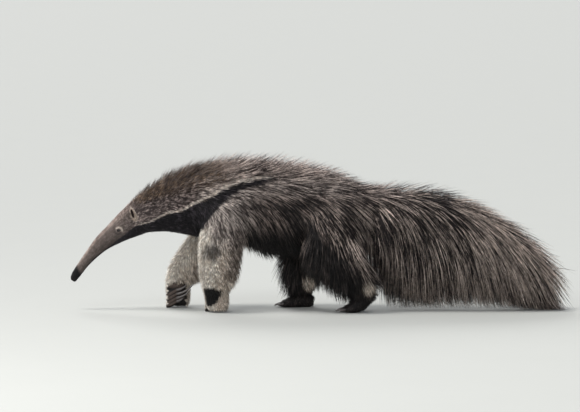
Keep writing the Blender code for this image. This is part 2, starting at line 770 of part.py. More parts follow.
def nearest_place(form):
    """A tree that finds the place on a form's skin nearest to a point."""
    bm = bmesh.new()
    bm.from_mesh(form.data)
    tree = BVHTree.FromBMesh(bm)
    bm.free()
    return tree


def drape(skin, root, lie, length, lift, fall):
    """One lock's path and the way out of the skin along it. The path starts under
    the skin, runs along the lie, bends down at each step, and keeps clear of the
    skin by more and more towards its tip."""
    place, out, _, _ = skin.find_nearest(root)
    path, outs = [place - out * ROOT_DEPTH], [out]
    steps = len(lock_form(length))
    last, way = place, lie.normalized()
    for i in range(1, steps + 1):
        way = (way + DOWN * fall).normalized()
        point = last + way * length / steps
        near, out, _, _ = skin.find_nearest(point)
        clear = lift * i / steps
        if (point - near).dot(out) < clear:
            point = near + out * clear
        point.z = max(point.z, LOWEST_HAIR)
        way, last = (point - last).normalized(), point
        path.append(point)
        outs.append(out)
    return path, outs


def lock_form(length):
    """The sections of a lock of this length, less its point."""
    return LONG_LOCK if length > LONG_FROM else SHORT_LOCK


def lock(path, outs, width, helpers):
    """A flat lock with a low ridge, tapered to a point."""
    form = LONG_LOCK if len(path) > len(LONG_LOCK) else SHORT_LOCK
    matrices = []
    for i, (wide, high) in enumerate((*form, TIP)):
        along = path[min(i + 1, len(path) - 1)] - path[max(i - 1, 0)]
        side = outs[i].cross(along)
        matrix = ring_matrix(path[i], along, side, high * LOCK_DEPTH, wide * width)
        matrices.append(matrix)
    return loft("lock", matrices, LOCK_SIDES, helpers)


def section_at(stations, x):
    """The station at a place along the body, between the two nearest it."""
    for before, after in zip(stations, stations[1:]):
        if x <= after.x:
            break
    t = (x - before.x) / (after.x - before.x)
    return Station(*(a + (b - a) * t for a, b in zip(before, after)))


def lock_row(row, side, stations, skin, draw, helpers):
    """The locks of one row, each a little unlike the next. Those of a row along
    the very top or bottom stand on edge, like a crest."""
    made = []
    on_edge = row.angle % 180 == 0
    for i in range(row.count):
        t = i / (row.count - 1)
        turn = 1 if i % 2 else -1
        station = section_at(stations, row.start + (row.end - row.start) * t)
        angle = math.radians(row.angle + draw.uniform(-1, 1) * ROW_WANDER)
        out_y = side * math.sin(angle) * (station.wide + station.coat)
        out_z = math.cos(angle) * (station.high + station.coat)
        root = Vector((station.x, out_y, station.z + out_z))
        lie = Vector(row.lie_start).lerp(Vector(row.lie_end), t)
        lie = Vector((lie.x + draw.uniform(-1, 1) * LIE_WANDER, side * lie.y, lie.z))
        length = row.long_start + (row.long_end - row.long_start) * t
        length *= draw.uniform(*LENGTH_SPREAD)
        lift = row.lift * (1 + LIFT_STAGGER * turn)
        if on_edge:
            root += SIDE * turn * CREST_STAGGER
            lie += SIDE * turn * CREST_STAGGER
        path, outs = drape(skin, root, lie, length, lift, row.fall)
        if on_edge:
            outs = [SIDE * turn] * len(outs)
        made.append(lock(path, outs, row.width * draw.uniform(*LENGTH_SPREAD), helpers))
    return made


def coat_locks(crests, rows, stations, skin, draw, helpers):
    """All the locks of a form: crests along its top, and rows down both sides."""
    made = []
    for row in crests:
        made += lock_row(row, LEFT, stations, skin, draw, helpers)
    for row in rows:
        for side in (LEFT, RIGHT):
            made += lock_row(row, side, stations, skin, draw, helpers)
    return made


def station_at_height(stations, height):
    """The station of a leg at a height, between the two nearest it."""
    for above, below in zip(stations, stations[1:]):
        if height >= below.z:
            break
    t = (above.z - height) / (above.z - below.z)
    return Station(*(a + (b - a) * t for a, b in zip(above, below)))


def leg_locks(pair, side, skin, draw, helpers):
    """The fringe down the back and the outer side of one leg."""
    fringe = FRINGES[pair]
    stations = (FORE_LEGS if pair == "fore" else HIND_LEGS)[side]
    made = []
    for i, height in enumerate(fringe.heights):
        station = station_at_height(stations, height)
        for degrees in fringe.angles:
            degrees += draw.uniform(-1, 1) * ROW_WANDER + LEG_ROW_TURN * (i % 2)
            angle = math.radians(degrees)
            out = Vector((math.cos(angle), side * math.sin(angle), 0))
            root = Vector(station[:3]) + out * (station.high + station.coat)
            lie = Vector((LEG_LIE[0] * math.cos(angle), LEG_LIE[1] * out.y, -1))
            length = fringe.long * draw.uniform(*LENGTH_SPREAD)
            path, outs = drape(skin, root, lie, length, LEG_LIFT, LEG_FALL)
            made.append(lock(path, outs, fringe.width, helpers))
    return made


def main():
    clear_scene()
    parts = collection("giant_anteater")
    helpers = collection("helpers")
    body = fused_body(helpers)
    head = head_form(helpers)
    tail = body_loft("tail_whole", TAIL_CORE, TAIL_SIDES, helpers, step=TAIL_STEP)
    draw = random.Random(SEED)

    for side in (LEFT, RIGHT):
        ear(side, head, parts, helpers)
        eye(side, parts, helpers)
    part_node(head, "snout", [ahead(SNOUT_CUT, helpers)], "snout_skin", parts, helpers)
    cuts = [behind(SNOUT_CUT, helpers), ahead(NECK_CUT, helpers)]
    part_node(head, "head", cuts, "coat_dark", parts, helpers)
    skin = nearest_place(body)
    coated = copy_of(body, "coated", helpers)
    crests = (MANE_ROW, CREST_ROW)
    fuse(coated, coat_locks(crests, BACK_ROWS, TRUNK, skin, draw, helpers))
    cuts = [behind(NECK_CUT, helpers), ahead(TORSO_CUT, helpers)]
    cuts += [leg_block("fore", side, GAP, helpers) for side in (LEFT, RIGHT)]
    part_node(coated, "neck", cuts, "coat_dark", parts, helpers)
    cuts = [behind(TORSO_CUT, helpers), ahead(TAIL_CUT, helpers)]
    cuts += [leg_block(pair, side, GAP, helpers) for pair, side in LEG_CUTS]
    part_node(coated, "torso", cuts, "coat_dark", parts, helpers)
    tail_skin = nearest_place(tail)
    crests = (TAIL_TOP_ROW, TAIL_KEEL_ROW)
    fuse(tail, coat_locks(crests, TAIL_ROWS, TAIL_CORE, tail_skin, draw, helpers))
    cuts = [behind(TAIL_CUT, helpers), floor_block(helpers)]
    cuts.append(leg_block("hind", LEFT, GAP, helpers))
    part_node(tail, "tail", cuts, "coat_dark", parts, helpers)
    legs = {}
    for pair, side in LEG_CUTS:
        leg = legs[pair, side] = copy_of(body, "leg", helpers)
        fuse(leg, leg_locks(pair, side, skin, draw, helpers))
        cut(leg, [leg_block(pair, side, 0, helpers)], "INTERSECT")
        keep_largest(leg)
        finish = "coat_pale" if pair == "fore" else "coat_dark"
        finish_node(leg, f"{pair}_leg_{SIDE_NAMES[side]}", finish, parts)
    for side in (LEFT, RIGHT):
        forefoot(side, body, legs["fore", side], parts, helpers)
        hindfoot(side, body, legs["hind", side], parts, helpers)
    for leftover in list(helpers.objects):
        bpy.data.objects.remove(leftover)
    bpy.data.collections.remove(helpers)


main()
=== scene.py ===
"""The looks of a giant anteater that walks with its head low.

A skin stands for the solids of flesh, and over it lies the coat, in thin closed
tufts that follow the lie of the hair. Metres, +Z up. The head points to -X, and
the animal's left side faces -Y.
"""

import math
from typing import NamedTuple

import bpy
import numpy as np
from mathutils import Matrix, Vector
from mathutils.bvhtree import BVHTree
from mathutils.kdtree import KDTree


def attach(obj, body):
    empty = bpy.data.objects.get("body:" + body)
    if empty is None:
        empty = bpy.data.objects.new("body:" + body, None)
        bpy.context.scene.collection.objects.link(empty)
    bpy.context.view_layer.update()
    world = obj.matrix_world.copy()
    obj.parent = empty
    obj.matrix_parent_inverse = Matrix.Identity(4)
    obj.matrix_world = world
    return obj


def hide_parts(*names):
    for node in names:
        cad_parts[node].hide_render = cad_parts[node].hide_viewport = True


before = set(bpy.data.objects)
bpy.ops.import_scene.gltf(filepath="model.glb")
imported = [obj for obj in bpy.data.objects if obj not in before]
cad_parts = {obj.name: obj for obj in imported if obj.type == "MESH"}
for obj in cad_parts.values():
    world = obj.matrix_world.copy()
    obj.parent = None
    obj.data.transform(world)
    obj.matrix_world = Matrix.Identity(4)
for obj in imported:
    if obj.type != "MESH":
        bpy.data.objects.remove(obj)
bpy.ops.object.select_all(action="DESELECT")
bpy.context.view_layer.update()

SEED = 11
UP, DOWN, SIDE = Vector((0, 0, 1)), Vector((0, 0, -1)), Vector((0, 1, 0))
LEFT, RIGHT = -1, 1
SIDE_NAMES = {LEFT: "left", RIGHT: "right"}


class Section(NamedTuple):
    """A section of the body: its centre, half height and half width, and the depth
    of the coat's core over it."""

    x: float
    y: float
    z: float
    high: float
    wide: float
    coat: float


TRUNK = (
    Section(-0.708, 0, 0.3775, 0.069, 0.053, 0.004),
    Section(-0.660, 0, 0.3955, 0.080, 0.060, 0.007),
    Section(-0.605, 0, 0.4090, 0.094, 0.070, 0.010),
    Section(-0.545, 0, 0.4190, 0.112, 0.084, 0.014),
    Section(-0.470, 0, 0.4260, 0.128, 0.100, 0.018),
    Section(-0.380, 0, 0.4280, 0.138, 0.110, 0.020),
    Section(-0.280, 0, 0.4260, 0.140, 0.112, 0.022),
    Section(-0.170, 0, 0.4190, 0.136, 0.112, 0.022),
    Section(-0.060, 0, 0.4110, 0.126, 0.108, 0.020),
    Section(0.050, 0, 0.4050, 0.110, 0.102, 0.020),
    Section(0.140, 0, 0.4020, 0.082, 0.084, 0.020),
    Section(0.210, 0, 0.4080, 0.056, 0.052, 0.020),
    Section(0.300, 0, 0.4200, 0.044, 0.040, 0.020),
)
HEAD = (
    Section(-0.9895, 0, 0.1210, 0.0105, 0.0110, 0.000),
    Section(-0.9850, 0, 0.1280, 0.0150, 0.0145, 0.000),
    Section(-0.9710, 0, 0.1500, 0.0175, 0.0160, 0.001),
    Section(-0.9335, 0, 0.2005, 0.0205, 0.0185, 0.001),
    Section(-0.8735, 0, 0.2665, 0.0320, 0.0255, 0.001),
    Section(-0.8160, 0, 0.3100, 0.0440, 0.0350, 0.001),
    Section(-0.7670, 0, 0.3440, 0.0570, 0.0445, 0.002),
    TRUNK[0],
    TRUNK[1],
)
TAIL = (
    Section(0.180, 0, 0.4060, 0.058, 0.052, 0.018),
    Section(0.240, 0, 0.3980, 0.070, 0.046, 0.018),
    Section(0.320, 0, 0.3660, 0.100, 0.048, 0.018),
    Section(0.420, 0, 0.3450, 0.110, 0.052, 0.018),
    Section(0.530, 0, 0.3220, 0.104, 0.052, 0.018),
    Section(0.640, 0, 0.2850, 0.092, 0.048, 0.018),
    Section(0.740, 0, 0.2350, 0.078, 0.042, 0.018),
    Section(0.810, 0, 0.1900, 0.060, 0.034, 0.016),
    Section(0.860, 0, 0.1550, 0.038, 0.022, 0.012),
    Section(0.885, 0, 0.1350, 0.020, 0.014, 0.008),
)
LEGS = {
    ("fore", LEFT): (
        Section(-0.385, -0.060, 0.440, 0.078, 0.052, 0.016),
        Section(-0.385, -0.090, 0.350, 0.076, 0.050, 0.018),
        Section(-0.398, -0.103, 0.270, 0.066, 0.044, 0.022),
        Section(-0.405, -0.103, 0.200, 0.060, 0.041, 0.026),
        Section(-0.410, -0.100, 0.140, 0.052, 0.037, 0.026),
        Section(-0.414, -0.098, 0.095, 0.043, 0.033, 0.018),
        Section(-0.414, -0.098, 0.065, 0.038, 0.030, 0.012),
    ),
    ("fore", RIGHT): (
        Section(-0.395, 0.060, 0.440, 0.078, 0.052, 0.016),
        Section(-0.410, 0.088, 0.350, 0.074, 0.050, 0.018),
        Section(-0.450, 0.100, 0.270, 0.062, 0.044, 0.022),
        Section(-0.505, 0.100, 0.200, 0.055, 0.040, 0.022),
        Section(-0.555, 0.098, 0.140, 0.047, 0.036, 0.018),
        Section(-0.575, 0.096, 0.100, 0.040, 0.032, 0.012),
        Section(-0.572, 0.096, 0.065, 0.036, 0.029, 0.008),
    ),
    ("hind", LEFT): (
        Section(0.070, -0.055, 0.430, 0.090, 0.052, 0.018),
        Section(0.050, -0.088, 0.340, 0.090, 0.052, 0.020),
        Section(0.055, -0.104, 0.260, 0.074, 0.046, 0.022),
        Section(0.105, -0.106, 0.185, 0.052, 0.038, 0.024),
        Section(0.155, -0.102, 0.125, 0.040, 0.032, 0.022),
        Section(0.172, -0.100, 0.085, 0.034, 0.029, 0.014),
        Section(0.170, -0.100, 0.055, 0.030, 0.027, 0.010),
    ),
    ("hind", RIGHT): (
        Section(0.060, 0.055, 0.430, 0.090, 0.052, 0.018),
        Section(0.015, 0.088, 0.340, 0.086, 0.052, 0.020),
        Section(-0.030, 0.103, 0.265, 0.070, 0.046, 0.022),
        Section(-0.066, 0.104, 0.195, 0.052, 0.038, 0.024),
        Section(-0.070, 0.100, 0.130, 0.040, 0.032, 0.022),
        Section(-0.068, 0.098, 0.085, 0.034, 0.029, 0.014),
        Section(-0.070, 0.098, 0.055, 0.030, 0.027, 0.010),
    ),
}
HIND_FEET = {
    LEFT: (
        Section(0.2020, -0.100, 0.0760, 0.024, 0.024, 0.006),
        Section(0.1780, -0.100, 0.0520, 0.030, 0.029, 0.006),
        Section(0.1500, -0.100, 0.0260, 0.028, 0.036, 0.004),
        Section(0.1220, -0.100, 0.0150, 0.018, 0.037, 0.002),
        Section(0.1100, -0.100, 0.0130, 0.014, 0.034, 0.002),
    ),
    RIGHT: (
        Section(-0.0350, 0.098, 0.0240, 0.026, 0.026, 0.006),
        Section(-0.0600, 0.098, 0.0280, 0.030, 0.030, 0.006),
        Section(-0.0950, 0.098, 0.0220, 0.026, 0.036, 0.004),
        Section(-0.1250, 0.098, 0.0150, 0.018, 0.037, 0.002),
        Section(-0.1400, 0.098, 0.0130, 0.014, 0.034, 0.002),
    ),
}
# Height, lean along X, half length and half width of the fist's sections.
FIST = (
    (0.1150, 0.000, 0.038, 0.028),
    (0.0900, 0.000, 0.044, 0.029),
    (0.0600, 0.004, 0.049, 0.031),
    (0.0300, 0.008, 0.046, 0.032),
    (0.0100, 0.009, 0.038, 0.029),
    (0.0040, 0.009, 0.030, 0.022),
)
LEG_PADDING = 0.45
TOP_NARROWING = 0.14
BLUNT_END = 0.72

# The space of each leg: its reach along X, the heights of its sloping top at the
# body's middle and outside, and the height where the foot begins.
LEG_SPACES = {
    ("fore", LEFT): (-0.535, -0.285, 0.268, 0.420, 0.085),
    ("fore", RIGHT): (-0.680, -0.300, 0.268, 0.420, 0.095),
    ("hind", LEFT): (-0.075, 0.233, 0.270, 0.420, 0.080),
    ("hind", RIGHT): (-0.175, 0.165, 0.270, 0.420, 0.075),
}
LEG_MIDDLE_Y, LEG_OUTER_Y = 0.010, 0.260
LEG_OUTER_TOP = 0.420
DOCK = 0.225

EYE_RADIUS = 0.0088
LID_LONG, LID_HIGH, LID_THICK, LID_DEPTH = 0.0094, 0.0069, 0.0036, 0.60
EYE_PLACE = Vector((-0.8020, 0.0315, 0.3210))
EAR_PLACE = Vector((-0.7430, 0.0530, 0.3890))
EAR_LEAN = Vector((-0.34, 0.34, 1.0))
EAR_MOUTH = Vector((-0.50, 1.0, 0.0))
EAR_RADII = (0.0086, 0.0112, 0.0285)

# The bare palm's reach along X from the wrist, and its top, and the fold of
# skin that crosses it under the wrist: its place, its radii and its way.
PALM_FRONT, PALM_BACK, PALM_TOP = -0.039, 0.040, 0.104
PALM_FOLD = Vector((-0.010, 0.0190, 0.090))
PALM_FOLD_RADII, PALM_FOLD_WAY = (0.0150, 0.0100, 0.032), Vector((1.0, 0.0, 0.22))

FORE_CLAWS = (0.052, 0.085, 0.070, 0.036)
FINGER_HEIGHTS = (0.063, 0.047, 0.031, 0.017)
FINGER_ROOT = Vector((-0.0155, 0.0271, 0))
FINGER_WAY = Vector((0.80, 0.10, 0.45))
CLAW_WAY = Vector((0.80, 0.06, 0.50))
CLAW_BOW = Vector((0.050, 0.014, -0.085))


def select_only(*pieces):
    bpy.ops.object.select_all(action="DESELECT")
    for piece in pieces:
        piece.select_set(True)
    bpy.context.view_layer.objects.active = pieces[0]


def modify(piece, kind, **settings):
    """Adds a modifier to a piece and applies it."""
    select_only(piece)
    modifier = piece.modifiers.new(kind.lower(), kind)
    for key, value in settings.items():
        setattr(modifier, key, value)
    bpy.ops.object.modifier_apply(modifier=modifier.name)
    return piece


def joined(name, pieces):
    """The pieces as one object with its origin at the frame's."""
    select_only(*pieces)
    bpy.ops.object.join()
    bpy.ops.object.transform_apply(location=True, rotation=True, scale=True)
    made = bpy.context.object
    made.name = made.data.name = name
    return made


def boolean(piece, others, operation):
    """A union with all the others, or a cut by each of them."""
    group = bpy.data.collections.new("others")
    bpy.context.scene.collection.children.link(group)
    for other in others:
        for holder in list(other.users_collection):
            holder.objects.unlink(other)
        group.objects.link(other)
    if operation == "UNION":
        settings = {"operand_type": "COLLECTION", "collection": group, "solver": "MANIFOLD"}
        modify(piece, "BOOLEAN", operation=operation, **settings)
    else:
        for other in others:
            modify(piece, "BOOLEAN", operation=operation, object=other, solver="MANIFOLD")
    for other in others:
        bpy.data.objects.remove(other)
    bpy.data.collections.remove(group)
    return piece


def catmull(before, start, end, after, t):
    """A value between start and end on the smooth curve through all four."""
    return 0.5 * (
        2 * start
        + (end - before) * t
        + (2 * before - 5 * start + 4 * end - after) * t**2
        + (3 * start - before - 3 * end + after) * t**3
    )


def smooth_sections(sections, step):
    """Sections on one smooth curve through those given, about a step apart."""
    made = []
    for i in range(len(sections) - 1):
        start, end = sections[i], sections[i + 1]
        before = sections[max(i - 1, 0)]
        after = sections[min(i + 2, len(sections) - 1)]
        count = max(1, round(math.dist(start[:3], end[:3]) / step))
        for k in range(count):
            four = zip(before, start, end, after)
            made.append(Section(*(catmull(*values, k / count) for values in four)))
    made.append(sections[-1])
    return made


def section_turn(along, side=SIDE):
    """The turn of a section across the direction given, its width along side."""
    along = along.normalized()
    side = (side - side.dot(along) * along).normalized()
    return Matrix((side, along.cross(side), along)).transposed()


def loft(name, rings, sides, closed=False):
    """A closed form over rings, each a centre, a turn, a half width and a half
    height: circles joined, bridged one to the next and filled at both ends, or
    bridged round to the first again."""
    circles = []
    for centre, turn, wide, high in rings:
        bpy.ops.mesh.primitive_circle_add(
            vertices=sides, radius=1, location=centre, rotation=turn.to_euler()
        )
        bpy.context.object.scale = (wide, high, 1)
        circles.append(bpy.context.object)
    made = joined(name, circles)
    bpy.ops.object.mode_set(mode="EDIT")
    bpy.ops.mesh.select_all(action="SELECT")
    bpy.ops.mesh.bridge_edge_loops(type="CLOSED" if closed else "SINGLE")
    bpy.ops.mesh.select_all(action="SELECT")
    if not closed:
        bpy.ops.mesh.fill_holes(sides=0)
    bpy.ops.mesh.normals_make_consistent(inside=False)
    bpy.ops.object.mode_set(mode="OBJECT")
    return made


def body_loft(name, sections, sides, step, padding=0.0):
    """A rounded form along sections, with blunt ends."""
    path = smooth_sections(sections, step)
    rings = []
    for i, section in enumerate(path):
        before, after = path[max(i - 1, 0)], path[min(i + 1, len(path) - 1)]
        turn = section_turn(Vector(after[:3]) - Vector(before[:3]))
        pad = padding * section.coat
        rings.append((Vector(section[:3]), turn, section.wide + pad, section.high + pad))
    for end, inner in ((0, 1), (-1, -2)):
        centre, turn, wide, high = rings[end]
        out = (centre - rings[inner][0]).normalized()
        cap = centre + out * 0.5 * min(wide, high)
        cap = (cap, turn, wide * BLUNT_END, high * BLUNT_END)
        rings.insert(0 if end == 0 else len(rings), cap)
    return loft(name, rings, sides)


def ball(name, centre, radii, along=UP, side=SIDE, segments=24, rings=16):
    """A ball of three radii: along side, square to both, and along."""
    turn = section_turn(along, side)
    bpy.ops.mesh.primitive_uv_sphere_add(
        segments=segments, ring_count=rings, radius=1, location=centre,
        rotation=turn.to_euler(),
    )
    bpy.context.object.scale = radii
    return joined(name, [bpy.context.object])


def mirrored(place, side):
    """A place or a way given for the animal's right, on the side asked for."""
    return Vector((place.x, side * place.y, place.z))


def corners(piece):
    """The places of a piece's vertices."""
    places = np.empty(len(piece.data.vertices) * 3)
    piece.data.vertices.foreach_get("co", places)
    return places.reshape(-1, 3)


def set_corners(piece, places):
    piece.data.vertices.foreach_set("co", places.ravel())
    piece.data.update()


def swell(piece, centre, radii, height):
    """Raises the skin round a place in a soft hump, or sinks it."""
    places = corners(piece)
    normals = np.empty(places.size)
    piece.data.vertices.foreach_get("normal", normals)
    away = (places - np.array(centre)) / np.array(radii)
    share = np.exp(-(away**2).sum(1))
    set_corners(piece, places + normals.reshape(-1, 3) * (height * share)[:, None])


def trunk_form():
    trunk = body_loft("trunk", TRUNK, 32, 0.03)
    places = corners(trunk)
    xs = [section.x for section in TRUNK]
    middle = np.interp(places[:, 0], xs, [section.z for section in TRUNK])
    high = np.interp(places[:, 0], xs, [section.high for section in TRUNK])
    places[:, 1] *= 1 - TOP_NARROWING * (places[:, 2] - middle) / high
    set_corners(trunk, places)
    return trunk


def body_form():
    """Trunk, tail and legs, remeshed as one smooth skin."""
    forms = [trunk_form(), body_loft("tail", TAIL, 24, 0.04)]
    for sections in LEGS.values():
        forms.append(body_loft("leg", sections, 24, 0.03, LEG_PADDING))
    body = joined("body", forms)
    modify(body, "REMESH", mode="VOXEL", voxel_size=0.0070)
    return modify(body, "SMOOTH", factor=0.5, iterations=8)


def mouth_frame():
    """The snout's tip: where it ends, the way it points and its own upward way."""
    tip, back = Vector(HEAD[1][:3]), Vector(HEAD[3][:3])
    along = (tip - back).normalized()
    return tip, along, along.cross(SIDE)


def eye_centre(side):
    return mirrored(EYE_PLACE, side)


def eye_out(side):
    """The way that an eye looks."""
    return mirrored(Vector((-0.12, 1.0, 0.22)), side).normalized()


def lid_ring(side):
    """The two lids round an eye, as one almond ring that lies on the cheek."""
    out = eye_out(side)
    slant = Vector(HEAD[5][:3]) - Vector(HEAD[4][:3])
    long_way = (slant - slant.dot(out) * out).normalized()
    short_way = out.cross(long_way)
    centre = eye_centre(side) + out * EYE_RADIUS * LID_DEPTH
    rings = []
    count = 24
    for i in range(count):
        turn = 2 * math.pi * i / count
        along = short_way * LID_HIGH * math.cos(turn) - long_way * LID_LONG * math.sin(turn)
        spoke = long_way * LID_LONG * math.cos(turn) + short_way * LID_HIGH * math.sin(turn)
        upper = max(0.0, spoke.z / LID_HIGH)
        thick = LID_THICK * (1 + 0.35 * upper)
        place = centre + spoke + out * 0.0012 * upper
        rings.append((place, section_turn(along, out), thick * 1.2, thick))
    return loft("lids", rings, 10, closed=True)


def brow_fold(side):
    """The fold of skin over an eye, from its front corner round to behind it."""
    out, centre = eye_out(side), eye_centre(side)
    rings = []
    for i in range(13):
        t = i / 12
        turn = math.radians(-20 + 190 * t)
        spoke = Vector((-math.cos(turn) * 0.0165, 0, math.sin(turn) * 0.0130))
        ahead = Vector((math.sin(turn) * 0.0165, 0, math.cos(turn) * 0.0130))
        spoke -= spoke.dot(out) * out
        place = centre + spoke + out * EYE_RADIUS * 0.34
        size = 0.0036 * math.sin(math.pi * (0.08 + 0.84 * t)) ** 0.5
        rings.append((place, section_turn(ahead, out), size, size * 0.9))
    return loft("brow", rings, 10)


def ear_hollow(side):
    """The space inside an ear, that opens out and forward."""
    mouth = mirrored(EAR_MOUTH, side).normalized()
    centre = mirrored(EAR_PLACE, side) + mouth * EAR_RADII[0] * 0.80 + UP * 0.002
    radii = (EAR_RADII[0] * 1.05, EAR_RADII[1] * 0.60, EAR_RADII[2] * 0.74)
    return ball("hollow", centre, radii, mirrored(EAR_LEAN, side), mouth)


def head_form():
    """Snout and head with brow, cheek, lips, lids and ears, then the mouth, the
    nostrils, the sockets and the ears' hollows cut in."""
    head = body_loft("head", HEAD, 32, 0.008)
    modify(head, "SUBSURF", levels=1, render_levels=1)
    tip, along, rise = mouth_frame()
    for side in (LEFT, RIGHT):
        eye = eye_centre(side)
        swell(head, eye + Vector((0.002, 0, 0.016)), (0.022, 0.014, 0.010), 0.0035)
        swell(head, eye + Vector((-0.030, 0, -0.006)), (0.020, 0.016, 0.014), -0.0022)
        swell(head, eye + Vector((0.028, 0, -0.020)), (0.030, 0.020, 0.022), 0.0040)
        swell(head, eye + Vector((-0.004, 0, -0.018)), (0.018, 0.014, 0.007), -0.0016)
    added = [form(side) for side in (LEFT, RIGHT) for form in (lid_ring, brow_fold)]
    for radii, ahead, above in (
        ((0.0138, 0.0112, 0.0125), 0.001, 0.0040),
        ((0.0102, 0.0068, 0.0118), -0.004, -0.0085),
    ):
        added.append(ball("lip", tip + along * ahead + rise * above, radii, along))
    for side in (LEFT, RIGHT):
        mouth = mirrored(EAR_MOUTH, side).normalized()
        shell = (mirrored(EAR_PLACE, side), EAR_RADII, mirrored(EAR_LEAN, side), mouth)
        added.append(ball("ear", *shell))
    head = joined("head", [head, *added])
    modify(head, "REMESH", mode="VOXEL", voxel_size=0.0016)
    modify(head, "SMOOTH", factor=0.5, iterations=3)
    modify(head, "DECIMATE", ratio=0.62)
    cuts = []
    for side in (LEFT, RIGHT):
        nostril = tip + along * 0.0115 + rise * 0.006 + SIDE * side * 0.006
        way = (along + SIDE * side * 0.5).normalized()
        cuts.append(ball("nostril", nostril, (0.0026, 0.0034, 0.0070), way, segments=16))
        cuts.append(ball("socket", eye_centre(side), (EYE_RADIUS + 0.0002,) * 3))
        cuts.append(ear_hollow(side))
    centre = tip - rise * 0.0035 + along * -0.004
    turn = section_turn(along).to_euler()
    bpy.ops.mesh.primitive_cube_add(size=1, location=centre, rotation=turn)
    bpy.context.object.scale = (0.06, 0.0010, 0.038)
    mouth = joined("mouth", [bpy.context.object])
    core = ball("core", centre - along * 0.007, (0.0104, 0.0105, 0.0240), along)
    cuts.append(boolean(mouth, [core], "DIFFERENCE"))
    return boolean(head, cuts, "DIFFERENCE")


def forefoot_form(side):
    """A fist with its fingers and the heel pad behind them."""
    wrist = LEGS["fore", side][-2]
    middle = Vector((wrist.x, wrist.y, 0))
    turn = section_turn(DOWN)
    rings = [
        (middle + Vector((lean, 0, height)), turn, wide, long)
        for height, lean, long, wide in FIST
    ]
    forms = [loft("fist", rings, 24)]
    modify(forms[0], "SUBSURF", levels=1, render_levels=1)
    way = mirrored(FINGER_WAY, -side).normalized()
    for height in FINGER_HEIGHTS:
        root = middle + mirrored(FINGER_ROOT, -side) + UP * height
        forms.append(ball("finger", root, (0.0118, 0.0112, 0.029), way))
        knuckle = root - way * 0.020
        forms.append(ball("knuckle", knuckle, (0.0100, 0.0095, 0.0110), way))
    fold = middle + mirrored(PALM_FOLD, -side)
    forms.append(ball("fold", fold, PALM_FOLD_RADII, mirrored(PALM_FOLD_WAY, -side)))
    pad = middle + Vector((0.030, -side * 0.014, 0.030))
    forms.append(ball("heel_pad", pad, (0.019, 0.019, 0.026)))
    foot = joined("forefoot", forms)
    modify(foot, "REMESH", mode="VOXEL", voxel_size=0.0026)
    return modify(foot, "SMOOTH", factor=0.5, iterations=3)


def hindfoot_form(side):
    """A flat foot with five toes."""
    sections = HIND_FEET[side]
    forms = [body_loft("foot", sections, 24, 0.02)]
    ankle = LEGS["hind", side][-3:]
    forms.append(body_loft("ankle", ankle, 24, 0.02, LEG_PADDING))
    for root, way in toes(side):
        forms.append(ball("toe", root, (0.0088, 0.0082, 0.025), way))
    foot = joined("hindfoot", forms)
    modify(foot, "REMESH", mode="VOXEL", voxel_size=0.0028)
    return modify(foot, "SMOOTH", factor=0.5, iterations=3)


def toes(side):
    """The root and the way of each hind toe."""
    front = Vector(HIND_FEET[side][-2][:3])
    made = []
    for i in range(5):
        spread = i / 2 - 1
        way = Vector((-1, spread * 0.22, -0.04)).normalized()
        root = front + Vector((0.014 * spread**2 - 0.012, spread * 0.027, -0.004))
        made.append((root, way))
    return made


def whole_skin():
    """One closed skin for all that is flesh."""
    skin = body_form()
    others = [head_form()]
    for side in (LEFT, RIGHT):
        others += [forefoot_form(side), hindfoot_form(side)]
    boolean(skin, others, "UNION")
    bpy.ops.mesh.primitive_cube_add(size=4, location=(0, 0, -2.0))
    boolean(skin, [joined("floor_block", [bpy.context.object])], "DIFFERENCE")
    keep_largest(skin)
    skin.name = skin.data.name = "skin"
    skin.data.shade_smooth()
    return skin


def keep_largest(piece):
    """Drops the scraps that a cut leaves."""
    select_only(piece)
    bpy.ops.object.mode_set(mode="EDIT")
    bpy.ops.mesh.select_all(action="SELECT")
    bpy.ops.mesh.separate(type="LOOSE")
    bpy.ops.object.mode_set(mode="OBJECT")
    parts = sorted(bpy.context.selected_objects, key=lambda o: len(o.data.vertices))
    for scrap in parts:
        if scrap != piece and len(scrap.data.vertices) > len(piece.data.vertices):
            piece.data, scrap.data = scrap.data, piece.data
    for scrap in parts:
        if scrap != piece:
            bpy.data.objects.remove(scrap)
    return piece


def unit(ways):
    return ways / np.maximum(np.linalg.norm(ways, axis=-1, keepdims=True), 1e-9)


def ramp(values, start, end):
    """Rises smoothly from 0 at start to 1 at end."""
    t = np.clip((values - start) / (end - start), 0, 1)
    return t * t * (3 - 2 * t)


def curve(values, pairs):
    """A quantity given at a few places, and straight between them."""
    return np.interp(values, [p[0] for p in pairs], [p[1] for p in pairs])


